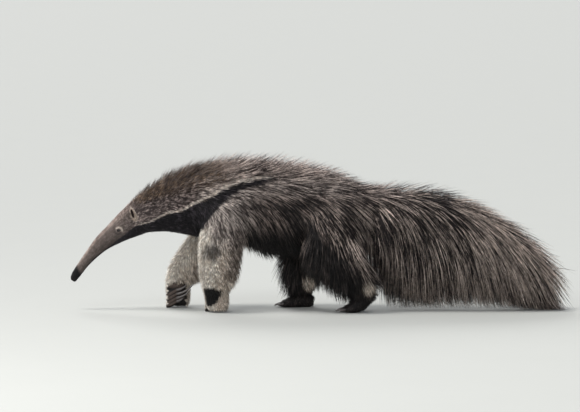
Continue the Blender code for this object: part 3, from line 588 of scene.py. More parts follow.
# The coat over head, trunk and tail. Each quantity is given along X at the crest,
# the upper side, the side and low down, and blended by the angle round the body.
ANGLES = (0, 45, 90, 145)
LONG = (
    ((-0.985, 0.0045), (-0.87, 0.0065), (-0.80, 0.009), (-0.76, 0.012), (-0.72, 0.026),
     (-0.68, 0.055), (-0.60, 0.085), (-0.54, 0.100), (-0.45, 0.115), (0.15, 0.125),
     (0.24, 0.130), (0.84, 0.200)),
    ((-0.985, 0.0045), (-0.87, 0.0065), (-0.80, 0.008), (-0.74, 0.012), (-0.66, 0.019),
     (-0.55, 0.029), (-0.45, 0.042), (-0.20, 0.075), (0.10, 0.110), (0.26, 0.200),
     (0.82, 0.225)),
    ((-0.985, 0.0045), (-0.87, 0.0065), (-0.80, 0.008), (-0.72, 0.013), (-0.60, 0.017),
     (-0.50, 0.023), (-0.40, 0.030), (-0.30, 0.054), (-0.15, 0.090), (0.08, 0.120),
     (0.16, 0.170), (0.22, 0.240), (0.284, 0.270), (0.835, 0.210)),
    ((-0.985, 0.0040), (-0.80, 0.0065), (-0.70, 0.013), (-0.55, 0.020), (-0.42, 0.032),
     (-0.33, 0.090), (-0.25, 0.140), (-0.10, 0.140), (0.0, 0.100), (0.12, 0.130),
     (0.17, 0.220), (0.22, 0.300), (0.27, 0.320), (0.855, 0.190)),
)
STAND = (
    ((-0.98, 0.06), (-0.78, 0.12), (-0.74, 0.45), (-0.70, 0.85), (-0.60, 0.80),
     (-0.54, 0.60), (-0.45, 0.50), (-0.20, 0.50), (0.10, 0.20), (0.25, 0.12), (0.84, 0.12)),
    ((-0.98, 0.06), (-0.74, 0.15), (-0.68, 0.45), (-0.55, 0.35), (-0.40, 0.20),
     (0.10, 0.12), (0.84, 0.10)),
    ((-0.98, 0.06), (-0.70, 0.12), (0.84, 0.12)),
    ((-0.98, 0.06), (-0.70, 0.10), (0.84, 0.10)),
)
# Degrees from straight back along the body towards straight down.
SLOPE = (
    ((-0.98, 0), (0.25, 2), (0.60, 18), (0.84, 30)),
    ((-0.98, 0), (-0.60, 6), (-0.45, 12), (0.00, 14), (0.15, 30), (0.24, 68),
     (0.50, 58), (0.815, 42)),
    ((-0.98, 0), (-0.70, 4), (-0.55, 16), (-0.45, 42), (0.10, 46), (0.20, 76),
     (0.25, 90), (0.60, 72), (0.835, 52)),
    ((-0.98, 0), (-0.70, 4), (-0.52, 18), (-0.42, 55), (-0.30, 74), (-0.10, 66),
     (0.05, 60), (0.15, 76), (0.22, 92), (0.60, 78), (0.855, 60)),
)
# How far the tips keep off the skin.
LIFT = (
    ((-0.98, 0.0008), (-0.80, 0.002), (-0.75, 0.004), (-0.70, 0.024), (-0.60, 0.046),
     (-0.45, 0.070), (-0.25, 0.084), (-0.05, 0.074), (0.10, 0.054), (0.25, 0.066),
     (0.45, 0.066), (0.62, 0.060), (0.75, 0.088), (0.84, 0.126)),
    ((-0.98, 0.0008), (-0.80, 0.002), (-0.73, 0.004), (-0.66, 0.018), (-0.50, 0.022),
     (-0.20, 0.032), (0.10, 0.026), (0.258, 0.036), (0.70, 0.050), (0.815, 0.064)),
    ((-0.98, 0.0008), (-0.80, 0.002), (-0.70, 0.005), (-0.50, 0.012), (-0.30, 0.019),
     (0.10, 0.022), (0.284, 0.024)),
    ((-0.98, 0.0008), (-0.80, 0.002), (-0.70, 0.005), (-0.50, 0.010), (-0.30, 0.014),
     (0.264, 0.014)),
)
# The coat down the legs: back, side and front, against height.
LEG_ANGLES = (0, 90, 180)
LEG_LONG = {
    "fore": (
        ((0.05, 0.010), (0.10, 0.024), (0.14, 0.048), (0.20, 0.062), (0.30, 0.060)),
        ((0.05, 0.009), (0.10, 0.014), (0.20, 0.023), (0.30, 0.030)),
        ((0.05, 0.008), (0.10, 0.013), (0.20, 0.019), (0.30, 0.026)),
    ),
    "hind": (
        ((0.04, 0.010), (0.09, 0.032), (0.15, 0.085), (0.22, 0.150), (0.30, 0.220)),
        ((0.04, 0.010), (0.09, 0.028), (0.15, 0.062), (0.25, 0.100), (0.30, 0.120)),
        ((0.04, 0.012), (0.07, 0.040), (0.10, 0.085), (0.15, 0.115), (0.25, 0.125)),
    ),
}
LEG_BACKWARD = {"fore": (0.55, 0.30, 0.10), "hind": (0.50, 0.28, -0.28)}
LEG_STAND = {"fore": (0.50, 0.30, 0.22), "hind": (0.45, 0.25, 0.36)}
LEG_LIFT = 0.013


def by_angle(degrees, anchors, rows):
    """Blends rows of values, given at a few angles, by each root's own angle."""
    rows = np.array(rows)
    place = np.interp(degrees, anchors, range(len(anchors)))
    low = np.clip(place.astype(int), 0, len(anchors) - 2)
    share = place - low
    index = np.arange(len(degrees))
    return rows[low, index] * (1 - share) + rows[low + 1, index] * share


def charted(chart, x, degrees, anchors=ANGLES):
    return by_angle(degrees, anchors, [curve(x, pairs) for pairs in chart])


class Surface:
    """The skin's triangles as arrays, for setting roots on it and laying hair over it."""

    def __init__(self, skin):
        mesh = skin.data
        mesh.calc_loop_triangles()
        places = corners(skin)
        index = np.empty(len(mesh.loop_triangles) * 3, dtype=np.int64)
        mesh.loop_triangles.foreach_get("vertices", index)
        self.triangles = places[index.reshape(-1, 3)]
        a, b, c = (self.triangles[:, i] for i in range(3))
        cross = np.cross(b - a, c - a)
        self.areas = np.linalg.norm(cross, axis=1) / 2
        self.outs = unit(cross)
        self.middles = self.triangles.mean(1)
        index = index.reshape(-1, 3)
        self.tree = BVHTree.FromPolygons(places.tolist(), index.tolist())

    def scatter(self, density, draw):
        """Roots over the skin, so many to a square metre of each triangle."""
        wanted = self.areas * density
        whole = np.cumsum(wanted)
        count = int(whole[-1])
        picks = (np.arange(count) + draw.random(count)) * whole[-1] / count
        found = np.minimum(np.searchsorted(whole, picks), len(whole) - 1)
        u, v = draw.random(count), draw.random(count)
        over = u + v > 1
        u[over], v[over] = 1 - u[over], 1 - v[over]
        a, b, c = (self.triangles[found, i] for i in range(3))
        roots = a + (b - a) * u[:, None] + (c - a) * v[:, None]
        return roots, self.outs[found]

    def nearest(self, points):
        """The places on the skin nearest to points, and the ways out there."""
        places, outs = np.empty_like(points), np.empty_like(points)
        find = self.tree.find_nearest
        for i, point in enumerate(points.tolist()):
            place, out, _, _ = find(point)
            places[i], outs[i] = place, out
        return places, outs


def body_axis():
    """The middle line from snout to tail tip, close enough to read places from."""
    sections = smooth_sections(HEAD, 0.01) + smooth_sections(TRUNK[2:11], 0.01)
    sections += smooth_sections(TAIL[1:], 0.01)
    middles = np.array([section[:3] for section in sections])
    ways = unit(np.gradient(middles, axis=0))
    return middles, ways


def round_body(places, axis):
    """For each place: where it is along the body, the body's way there, and the
    angle round it from the top, in degrees."""
    middles, ways = axis
    found = np.empty(len(places), dtype=int)
    for start in range(0, len(places), 20000):
        chunk = places[start:start + 20000]
        away = ((chunk[:, None, ::2] - middles[None, :, ::2]) ** 2).sum(2)
        found[start:start + 20000] = away.argmin(1)
    way = ways[found]
    rise = np.cross(way, np.array(SIDE))
    off = places - middles[found]
    degrees = np.degrees(np.arctan2(np.abs(off[:, 1]), (off * rise).sum(1)))
    return middles[found, 0], way, degrees


def leg_of(places):
    """Which leg's space each place is in, or -1."""
    found = np.full(len(places), -1)
    for i, ((_, side), space) in enumerate(LEG_SPACES.items()):
        front, back, inner_top, outer_top, _ = space
        across = (places[:, 1] * side - LEG_MIDDLE_Y) / (LEG_OUTER_Y - LEG_MIDDLE_Y)
        top = inner_top + (outer_top - inner_top) * across
        inside = (places[:, 0] > front) & (places[:, 0] < back)
        inside &= (across > 0) & (places[:, 2] < top)
        found[inside] = i
    return found


def round_leg(places, key):
    """The angle round a leg from its back through its outer side, and its middle."""
    sections = LEGS[key]
    heights = [section.z for section in sections][::-1]
    x = np.interp(places[:, 2], heights, [section.x for section in sections][::-1])
    y = np.interp(places[:, 2], heights, [section.y for section in sections][::-1])
    off_x, off_y = places[:, 0] - x, (places[:, 1] - y) * key[1]
    return np.degrees(np.arctan2(off_y, off_x))


def tone(red, green, blue):
    """A colour named by the values that a screen shows, as light."""
    screen = np.array((red, green, blue)) / 255
    return np.where(screen < 0.04045, screen / 12.92, ((screen + 0.055) / 1.055) ** 2.4)


FACE = (tone(92, 81, 76), tone(146, 134, 128))
# Pale hair over the eye, painted as the brow fold's highlight.
BROW_HIGHLIGHT = (tone(134, 121, 111), tone(226, 214, 202))
NECK = (tone(58, 49, 49), tone(178, 162, 156))
BACK = (tone(48, 39, 37), tone(212, 195, 186))
MANE_ROOT, MANE_TIP = tone(236, 202, 168), tone(38, 29, 25)
SHOULDER = (tone(78, 69, 66), tone(222, 210, 202))
FLANK = (tone(30, 24, 23), tone(160, 144, 136))
FRINGE = (tone(14, 12, 13), tone(64, 58, 56))
# Black hair, which under the snout also serves as painted shade.
BLACK_HAIR_AND_SHADE = (tone(19, 17, 21), tone(82, 76, 82))
CREAM = (tone(176, 160, 148), tone(246, 235, 224))
TAIL_HAIR = (tone(31, 24, 24), tone(208, 191, 180))
ARM = (tone(178, 162, 147), tone(242, 231, 218))
# The foreleg's front: pale hair, painted paler still as light.
ARM_FRONT_LIT = (tone(196, 184, 170), tone(252, 247, 238))
EAR = (tone(152, 136, 124), tone(234, 221, 209))
MUZZLE = (tone(8, 7, 8), tone(30, 27, 28))
STRIPE = (
    (-0.727, 0.345), (-0.683, 0.357), (-0.647, 0.373), (-0.610, 0.394),
    (-0.574, 0.402), (-0.546, 0.408), (-0.502, 0.434), (-0.430, 0.466),
    (-0.382, 0.498), (-0.325, 0.522), (-0.261, 0.534), (-0.209, 0.538),
    (-0.170, 0.538),
)
STRIPE_WIDTH = ((-0.727, 0.0015), (-0.66, 0.0030), (-0.50, 0.0054), (-0.30, 0.0062), (-0.17, 0.001))
# The painted shade down the thigh: a place on its middle, and the way across it.
THIGH_SHADE_TOP, THIGH_SHADE_ACROSS = Vector((-0.125, 0, 0.430)), Vector((0.796, 0, 0.606))
# Under the throat and the jaw the dark begins below this line: black hair, and under the snout partly
# painted shade.
THROAT = (
    (-0.985, 0.108), (-0.900, 0.212), (-0.840, 0.258), (-0.790, 0.298),
    (-0.745, 0.333), (-0.727, 0.345),
)
WEDGE_FOOT = (
    (-0.470, 0.280), (-0.462, 0.329), (-0.442, 0.369), (-0.410, 0.410),
    (-0.361, 0.458), (-0.317, 0.486), (-0.245, 0.506), (-0.201, 0.522),
    (-0.165, 0.536),
)


def blended(tones, other, share):
    """Lays another pair of tones over those given, by each place's share."""
    share = share[:, None]
    return tuple(a * (1 - share) + b * share for a, b in zip(tones, other))


def body_tones(places, degrees):
    """The dark and the light hair's colour over head, trunk and tail, and the
    part of the hairs that is light."""
    x, z = places[:, 0], places[:, 2]
    top = ramp(degrees, 75, 45)
    tones = tuple(np.tile(t, (len(x), 1)) for t in FACE)
    light = np.full(len(x), 0.40)

    def lay(other, share, part):
        nonlocal tones, light
        tones = blended(tones, other, share)
        light = light * (1 - share) + part * share

    lined = 1 + 0.20 * np.sin(degrees * 0.45 + 2 * np.sin(x * 30))
    # Painted light: the hair is painted lighter along the top of the head and snout as a highlight,
    # and darker underneath as shade.
    lit_top_shaded_under = 0.92 + 1.20 * ramp(degrees, 56, 24) - 0.30 * ramp(degrees, 80, 125)
    tones = tuple(t * (lined * lit_top_shaded_under)[:, None] for t in tones)
    lay(NECK, ramp(x, -0.80, -0.71), 0.42)
    lay(BACK, ramp(x, -0.58, -0.42) * ramp(z, 0.40, 0.50), 0.54)
    lay(SHOULDER, ramp(x, -0.50, -0.44) * ramp(z, 0.56, 0.46), 0.54)
    lay(FLANK, ramp(x, -0.36, -0.20) * ramp(z, 0.53, 0.43), 0.38)
    lay(FRINGE, ramp(x, -0.36, -0.28) * ramp(z, 0.37, 0.27), 0.20)
    lay(TAIL_HAIR, ramp(x, 0.06, 0.20), 0.27)
    lay(BACK, ramp(x, 0.12, 0.20) * ramp(x, 0.42, 0.28) * top, 0.50)
    lay(TAIL_HAIR, ramp(x, 0.42, 0.66), 0.55)
    light = light + 0.12 * ramp(x, 0.26, 0.36) * ramp(x, 0.56, 0.48) * ramp(z, 0.30, 0.18)
    light = light - 0.05 * ramp(x, 0.26, 0.36) * ramp(x, 0.56, 0.48) * ramp(z, 0.26, 0.34)
    jaw, stripe, foot = curve(x, THROAT), curve(x, STRIPE), curve(x, WEDGE_FOOT)
    border = np.where(x < -0.727, jaw, stripe)
    # Black below the jaw and the stripe: dark hair, which under the snout also stands for painted
    # shade.
    under = ramp(border - z, -0.003, 0.003) * ramp(x, -0.14, -0.19)
    ahead = np.where(x < -0.470, 1.0, ramp(z - foot, -0.004, 0.004))
    lay(BLACK_HAIR_AND_SHADE, under * ahead, 0.25)
    half = curve(x, STRIPE_WIDTH)
    line = ramp(np.abs(z - stripe), half + 0.002, half - 0.002)
    lay(CREAM, line * ramp(x, -0.745, -0.715) * ramp(x, -0.165, -0.21), 0.88)
    lay(MUZZLE, ramp(x + 0.5 * (z - 0.15), -0.950, -0.968), 0.2)
    for side in (LEFT, RIGHT):
        off = places - np.array(eye_centre(side))
        away = np.hypot(off[:, 0], off[:, 2])
        # Painted highlight: pale hair over and behind the eye, on the brow fold.
        brow = ramp(away, 0.009, 0.012) * ramp(away, 0.0200, 0.0155)
        brow *= ramp(off[:, 2] + 0.4 * off[:, 0], 0.000, 0.005) * (off[:, 1] * side > -0.02)
        lay(BROW_HIGHLIGHT, brow * 0.85, 0.62)
        under = ramp(away, 0.009, 0.011) * ramp(away, 0.021, 0.015)
        under *= ramp(off[:, 2] + 0.3 * off[:, 0], -0.003, -0.009) * (off[:, 1] * side > -0.02)
        lay(BLACK_HAIR_AND_SHADE, under * 0.45, 0.4)
        lay(EAR, in_ear(places, side, 1.5), 0.6)
    return tones, light


def in_ear(places, side, reach):
    """How far inside an ear's own form each place is, to so many times its size."""
    mouth = mirrored(EAR_MOUTH, side).normalized()
    turn = np.array(section_turn(mirrored(EAR_LEAN, side), mouth))
    off = (places - np.array(mirrored(EAR_PLACE, side))) @ turn
    away = np.linalg.norm(off / np.array(EAR_RADII), axis=1)
    return ramp(away, reach, reach * 0.85)


def leg_tones(places, key, degrees):
    """The same down a leg."""
    pair, side = key
    x, z = places[:, 0], places[:, 2]
    if pair == "fore":
        tones = tuple(np.tile(t, (len(x), 1)) for t in ARM)
        light = np.full(len(x), 0.5)
        around = np.abs(degrees)
        # Paler down the front: the leg's pale hair, with painted light on its front.
        tones = blended(tones, ARM_FRONT_LIT, ramp(around, 62, 110))
        waves = np.sin(z * 320 + 3 * np.sin(degrees * 0.06) + 2 * np.sin(x * 110))
        waved = 1 + 0.22 * waves * ramp(z, 0.08, 0.12) * ramp(z, 0.25, 0.20)
        tones = tuple(t * waved[:, None] for t in tones)
        share = ramp(z - 0.09 * ramp(around, 112, 138), 0.21, 0.32)
        tones, light = blended(tones, SHOULDER, share), light * (1 - share) + 0.48 * share
        shaded = ramp(around, 74, 34) * ramp(z, 0.09, 0.16) * 0.75
        tones = blended(tones, FLANK, shaded)
        wrist = LEGS[key][-2]
        elbow = ((x - (wrist.x - 0.014)) / 0.032) ** 2 + ((z - 0.243) / 0.028) ** 2
        outer = ramp(degrees, 20, 50) * ramp(degrees, 175, 150)
        elbow += 0.35 * np.sin(x * 170 + z * 90)
        dark = ramp(elbow, 2.3, 0.2) * outer * 0.72
        lean = x - wrist.x + 0.020 + 0.10 * (0.090 - z)
        patch = (lean / (0.026 + 0.38 * np.clip(z - 0.028, 0, 0.06))) ** 2
        patch += ((z - 0.063) / 0.036) ** 4
        patch += 0.12 * np.sin(x * 500) + 0.12 * np.sin(z * 420)
        patch = ramp(patch, 1.25, 0.8) * outer
        tones = blended(blended(tones, BLACK_HAIR_AND_SHADE, dark), MUZZLE, patch)
        dark = np.maximum(dark, patch)
        return tones, light * (1 - dark) + 0.1 * dark
    tones = tuple(np.tile(t, (len(x), 1)) for t in FLANK)
    light = np.full(len(x), 0.26)
    share = ramp(z, 0.30, 0.20) * 0.8
    tones, light = blended(tones, FRINGE, share), light * (1 - share) + 0.2 * share
    heel_x = HIND_FEET[side][0].x
    heel = ((x - heel_x + 0.004) / 0.026) ** 2 + ((z - 0.096) / 0.032) ** 2
    share = ramp(heel, 1.4, 0.3)
    return blended(tones, ARM, share), light * (1 - share) + 0.5 * share


def haunch(tones, light, places):
    """Darkens the band down the thigh with painted shade and lightens the hair behind it."""
    x, z = places[:, 0], places[:, 2]
    behind = (x - THIGH_SHADE_TOP.x) * THIGH_SHADE_ACROSS.x + (z - THIGH_SHADE_TOP.z) * THIGH_SHADE_ACROSS.z
    # Painted shade: a dark band down the thigh.
    dark = ramp(np.abs(behind + 0.005), 0.050, 0.022) * ramp(z, 0.46, 0.40) * ramp(x, -0.17, -0.12)
    dark *= 0.75
    tones, light = blended(tones, FRINGE, dark), light * (1 - dark) + 0.2 * dark
    pale = ramp(behind, 0.035, 0.075) * ramp(x, 0.36, 0.24) * ramp(z, 0.46, 0.38) * ramp(z, 0.10, 0.17)
    pale *= ramp(x, -0.06, 0.02)
    return blended(tones, TAIL_HAIR, pale), light * (1 - pale) + 0.28 * pale


def tones_at(places, axis):
    """Tones for any places on the skin or in the coat."""
    _, _, degrees = round_body(places, axis)
    tones, light = body_tones(places, degrees)
    legs = leg_of(places)
    for i, key in enumerate(LEG_SPACES):
        mine = legs == i
        if mine.any():
            part = places[mine]
            (dark, pale), share = leg_tones(part, key, round_leg(part, key))
            tones[0][mine], tones[1][mine], light[mine] = dark, pale, share
    return haunch(tones, light, places)


# Rings to a tuft by its length, and how wide it is at each, ahead of its tip.
RING_LENGTHS = (0.022, 0.080)
PROFILES = {
    2: (0.85, 1.0),
    3: (0.75, 1.0, 0.72),
    4: (0.70, 1.0, 0.90, 0.55),
}
WIDTHS = ((0.005, 0.0007), (0.010, 0.0010), (0.030, 0.0017), (0.100, 0.0025), (0.300, 0.0032))
WANDER = ((0.004, 0.05), (0.020, 0.09), (0.080, 0.09), (0.300, 0.045))
SWAY = ((0.004, 0.02), (0.050, 0.05), (0.300, 0.085))
# Tufts whose roots lie together share some of their tone and lean to one middle.
CLUMP_TUFTS = 7
CLUMP_PULL = 0.45
CLUMP_SHARE = 0.5
# Past this breadth the coat's tips are held in, and tufts keep to their own side.
BROAD, BROAD_SHARE = 0.170, 0.60
CROSSING = 0.012
THICKNESS = 0.42
ROOT_DEPTH = ((0.003, 0.0008), (0.02, 0.002), (0.10, 0.005), (0.30, 0.006))
PATCH = 0.003
FLOOR_RADIUS = 200.0
LOWEST = 0.0020


def lay_tufts(surface, hair, rings, draw):
    """Each tuft's path over the skin and the way out of it: rings of points from
    under the skin towards the tip, and the tip."""
    root, out, way, long = hair["root"], hair["out"], unit(hair["way"]), hair["long"]
    path, outs = [root - out * curve(long, ROOT_DEPTH)[:, None]], [out]
    last = root
    side = np.where(root[:, 1] < 0, -1.0, 1.0)
    sway = draw.normal(size=(len(root), 3)) * curve(long, SWAY)[:, None]
    for i in range(1, rings + 1):
        bend = hair["fall"][:, None] * np.array(DOWN) * 4 / rings
        way = unit(way + bend + sway * (1 if i % 2 else -1))
        point = last + way * (long / rings)[:, None]
        near, out = surface.nearest(point)
        clear = hair["lift"] * i / rings
        low = ((point - near) * out).sum(1) < clear
        point[low] = near[low] + out[low] * clear[low, None]
        beside = point[:, 1] * side
        beside = np.where(beside > BROAD, BROAD + (beside - BROAD) * BROAD_SHARE, beside)
        point[:, 1] = np.maximum(beside, -CROSSING) * side
        point[:, 2] = np.maximum(point[:, 2], LOWEST)
        way, last = unit(point - last), point
        path.append(point)
        outs.append(out)
    return np.stack(path, 1), np.stack(outs, 1)


def tuft_faces(rings):
    """The triangles of one closed tuft: its base, its three sides and its tip."""
    faces = [(0, 2, 1)]
    for i in range(rings - 1):
        for k in range(3):
            a, b = 3 * i + k, 3 * i + (k + 1) % 3
            faces += [(a, b, b + 3), (a, b + 3, a + 3)]
    last = 3 * (rings - 1)
    faces += [(last + k, last + (k + 1) % 3, last + 3) for k in range(3)]
    return np.array(faces)


def tuft_mesh(path, outs, wide, rings):
    """The corners of closed three-sided tufts along their paths."""
    along = np.empty_like(path)
    along[:, 1:-1] = path[:, 2:] - path[:, :-2]
    along[:, 0], along[:, -1] = path[:, 1] - path[:, 0], path[:, -1] - path[:, -2]
    along = unit(along)
    side = unit(np.cross(outs, along))
    rise = np.cross(along, side)
    width = wide[:, None] * np.array(PROFILES[rings])
    made = np.empty((len(path), 3 * rings + 1, 3))
    half = (width / 2)[..., None]
    high = half * 2 * THICKNESS
    made[:, 0:-1:3] = path[:, :-1] - side[:, :-1] * half
    made[:, 1:-1:3] = path[:, :-1] + side[:, :-1] * half
    made[:, 2:-1:3] = path[:, :-1] + rise[:, :-1] * high
    made[:, -1] = path[:, -1]
    return made


def hair_colours(path, hair, axis, rings):
    """A colour for each ring: the marking where the ring lies, dark or light by
    the hair, with bands along it."""
    count = len(path)
    spots = path[:, :-1].copy()
    spots[:, 0] = path[:, 1] * 0.7 + path[:, 0] * 0.3
    spots = spots + hair["stray"][:, None, :]
    places = spots.reshape(-1, 3)
    (dark, pale), light = tones_at(places, axis)
    t = np.tile(np.linspace(0, 1, rings), (count, 1)).ravel()
    own = np.repeat(hair["own"], rings)
    band = np.repeat(hair["band"], rings)
    level = own + 0.16 * np.sin(band * 6.3 + t * (3 + 3 * band))
    share = ramp(level, 1.02 - light - 0.16, 1.02 - light + 0.16)
    colour = dark * (1 - share[:, None]) + pale * share[:, None]
    x, _, degrees = round_body(places, axis)
    mane = ramp(x, -0.74, -0.68) * ramp(x, -0.30, -0.44) * ramp(degrees, 62, 30)
    mane *= leg_of(places) < 0
    tip = ramp(t, 0.28, 0.85)[:, None]
    crest = MANE_ROOT * (1 - tip) + MANE_TIP * tip
    crest = crest * (0.55 + 0.9 * own[:, None])
    colour = colour * (1 - 0.72 * mane[:, None]) + crest * 0.72 * mane[:, None]
    colour *= (0.72 + 0.28 * ramp(t, 0, 0.5))[:, None]
    return colour.reshape(count, rings, 3)


def coat_piece(name, hair, surface, axis, draw):
    """A joined mesh of tufts, with their colours and their places in the bake."""
    ring_counts = 2 + np.searchsorted(RING_LENGTHS, hair["long"])
    corner_sets, face_sets, colour_sets, uv_sets = [], [], [], []
    base = 0
    for rings in PROFILES:
        mine = ring_counts == rings
        if not mine.any():
            continue
        part = {key: values[mine] for key, values in hair.items()}
        path, outs = lay_tufts(surface, part, rings, draw)
        made = tuft_mesh(path, outs, part["wide"], rings)
        count, size = made.shape[:2]
        colours = hair_colours(path, part, axis, rings)
        by_corner = np.repeat(colours, 3, axis=1)
        by_corner = np.concatenate([by_corner, colours[:, -1:]], axis=1)
        across = np.append(np.tile((0.0, 0.5, 1.0), rings), 0.5)
        down = np.append(np.repeat(np.arange(rings), 3), rings) / rings
        patch = np.stack([across, down], 1) * PATCH
        uvs = part["unwrap"][:, None, :] * (1 - PATCH) + patch[None]
        faces = tuft_faces(rings)[None] + (base + np.arange(count) * size)[:, None, None]
        base += count * size
        corner_sets.append(made.reshape(-1, 3))
        face_sets.append(faces.reshape(-1, 3))
        colour_sets.append(by_corner.reshape(-1, 3))
        uv_sets.append(uvs.reshape(-1, 2))
    places, faces = np.concatenate(corner_sets), np.concatenate(face_sets)
    colours, uvs = np.concatenate(colour_sets), np.concatenate(uv_sets)
    mesh = bpy.data.meshes.new(name)
    mesh.vertices.add(len(places))
    mesh.vertices.foreach_set("co", places.astype(np.float32).ravel())
    mesh.loops.add(faces.size)
    mesh.loops.foreach_set("vertex_index", faces.astype(np.int32).ravel())
    mesh.polygons.add(len(faces))
    mesh.polygons.foreach_set("loop_start", np.arange(0, faces.size, 3, dtype=np.int32))
    mesh.update(calc_edges=True)
    mesh.shade_smooth()
    layer = mesh.uv_layers.new(name="OFBake")
    layer.data.foreach_set("uv", uvs[faces.ravel()].astype(np.float32).ravel())
    paint = mesh.color_attributes.new("marking", "FLOAT_COLOR", "POINT")
    full = np.ones((len(colours), 4), dtype=np.float32)
    full[:, :3] = colours
    paint.data.foreach_set("color", full.ravel())
    made = bpy.data.objects.new(name, mesh)
    bpy.context.scene.collection.objects.link(made)
    made.data.materials.append(coat_finish())
    print(name, len(hair["long"]), "tufts", len(faces), "triangles")
    return made


def new_hair(roots, outs, ways, long, lift, fall, unwrap, draw):
    """The tufts' own values, with what differs from one to the next."""
    count = len(roots)
    seeds = draw.choice(count, max(1, count // CLUMP_TUFTS), replace=False)
    tree = KDTree(len(seeds))
    for i, seed in enumerate(seeds):
        tree.insert(roots[seed], i)
    tree.balance()
    clump = np.array([tree.find(root)[1] for root in roots.tolist()])
    long = long * draw.uniform(0.78, 1.18, count)
    wander = draw.normal(size=(count, 3)) * 0.6 + draw.normal(size=(len(seeds), 3))[clump] * 0.6
    pull = (roots[seeds][clump] - roots) * (CLUMP_PULL / long)[:, None]
    way = unit(ways) + wander * curve(long, WANDER)[:, None] + pull
    own = draw.random(count) * (1 - CLUMP_SHARE) + draw.random(len(seeds))[clump] * CLUMP_SHARE
    own = np.argsort(np.argsort(own)) / count
    short = ramp(long, 0.05, 0.005)
    return {
        "root": roots,
        "out": outs,
        "way": way,
        "long": long,
        "lift": lift * draw.uniform(0.25, 1.15, count),
        "fall": fall,
        "wide": curve(long, WIDTHS) * draw.uniform(0.75, 1.2, count),
        "own": own,
        "band": draw.random(count),
        "stray": draw.normal(size=(count, 3)) * (0.0035 - 0.0020 * short)[:, None],
        "unwrap": unwrap,
    }


def body_hair(roots, outs, axis, draw, low=-1.0, high=1.0):
    """Tufts for head, trunk and tail, by the coat's charts."""
    x, axis_way, degrees = round_body(roots, axis)
    down = np.array(DOWN)
    slope = charted(SLOPE, x, degrees)
    arm = ramp(roots[:, 2], 0.44, 0.34) * ramp(x, -0.56, -0.50) * ramp(x, -0.28, -0.34)
    slope = np.radians(slope * (1 - arm) + ARM_SLOPE * arm)[:, None]
    along = axis_way * np.cos(slope) + down * np.sin(slope)
    along = unit(along - outs * np.minimum((along * outs).sum(1), 0.9)[:, None])
    ways = along + outs * charted(STAND, x, degrees)[:, None]
    long, lift = charted(LONG, x, degrees), charted(LIFT, x, degrees)
    for side in (LEFT, RIGHT):
        ear = in_ear(roots, side, 1.35)[:, None]
        ways = ways * (1 - ear) + np.array(mirrored(EAR_LEAN, side).normalized()) * ear
        long = long * (1 - ear[:, 0]) + EAR_HAIR * ear[:, 0]
        lift = lift * (1 - 0.8 * in_ear(roots, side, 2.0))
        away = np.linalg.norm(roots - np.array(eye_centre(side)), axis=1)
        long = long * (0.40 + 0.60 * ramp(away, 0.013, 0.026))
    fall = 0.10 * ramp(long, 0.03, 0.12)
    around = (degrees / 180 * np.sign(roots[:, 1]) + 1) / 2
    unwrap = np.stack([(x - low) / (high - low), around], 1)
    return new_hair(roots, outs, ways, long, lift, fall, np.clip(unwrap, 0, 1), draw)


def leg_hair(roots, outs, key, draw):
    """Tufts for one leg."""
    pair, side = key
    degrees = round_leg(roots, key)
    around, z = np.abs(degrees), roots[:, 2]
    long = charted(LEG_LONG[pair], z, around, LEG_ANGLES)
    back = np.interp(around, LEG_ANGLES, LEG_BACKWARD[pair])
    stand = np.interp(around, LEG_ANGLES, LEG_STAND[pair])
    along = np.tile(np.array(DOWN), (len(z), 1))
    along[:, 0] = back
    along = unit(along - outs * (along * outs).sum(1)[:, None] * 0.9)
    ways = along + outs * stand[:, None]
    lift = LEG_LIFT * ramp(z, 0.03, 0.16) * (1 + 0.5 * (around < 60)) + 0.0015
    fall = 0.08 * ramp(long, 0.02, 0.07)
    unwrap = np.clip(np.stack([degrees / 360 + 0.5, z / LEG_OUTER_TOP], 1), 0, 1)
    return new_hair(roots, outs, ways, long, lift, fall, unwrap, draw)


EAR_HAIR = 0.008
# The shoulder's hair turns down towards the foreleg's.
ARM_SLOPE = 72

# Tufts to a square metre.
DENSITY = {"snout": 375000, "face": 225000, "neck": 98000, "back": 60000, "trunk": 44000,
           "tail": 50000, "foreleg": 57000, "hindleg": 34000, "foot": 95000}


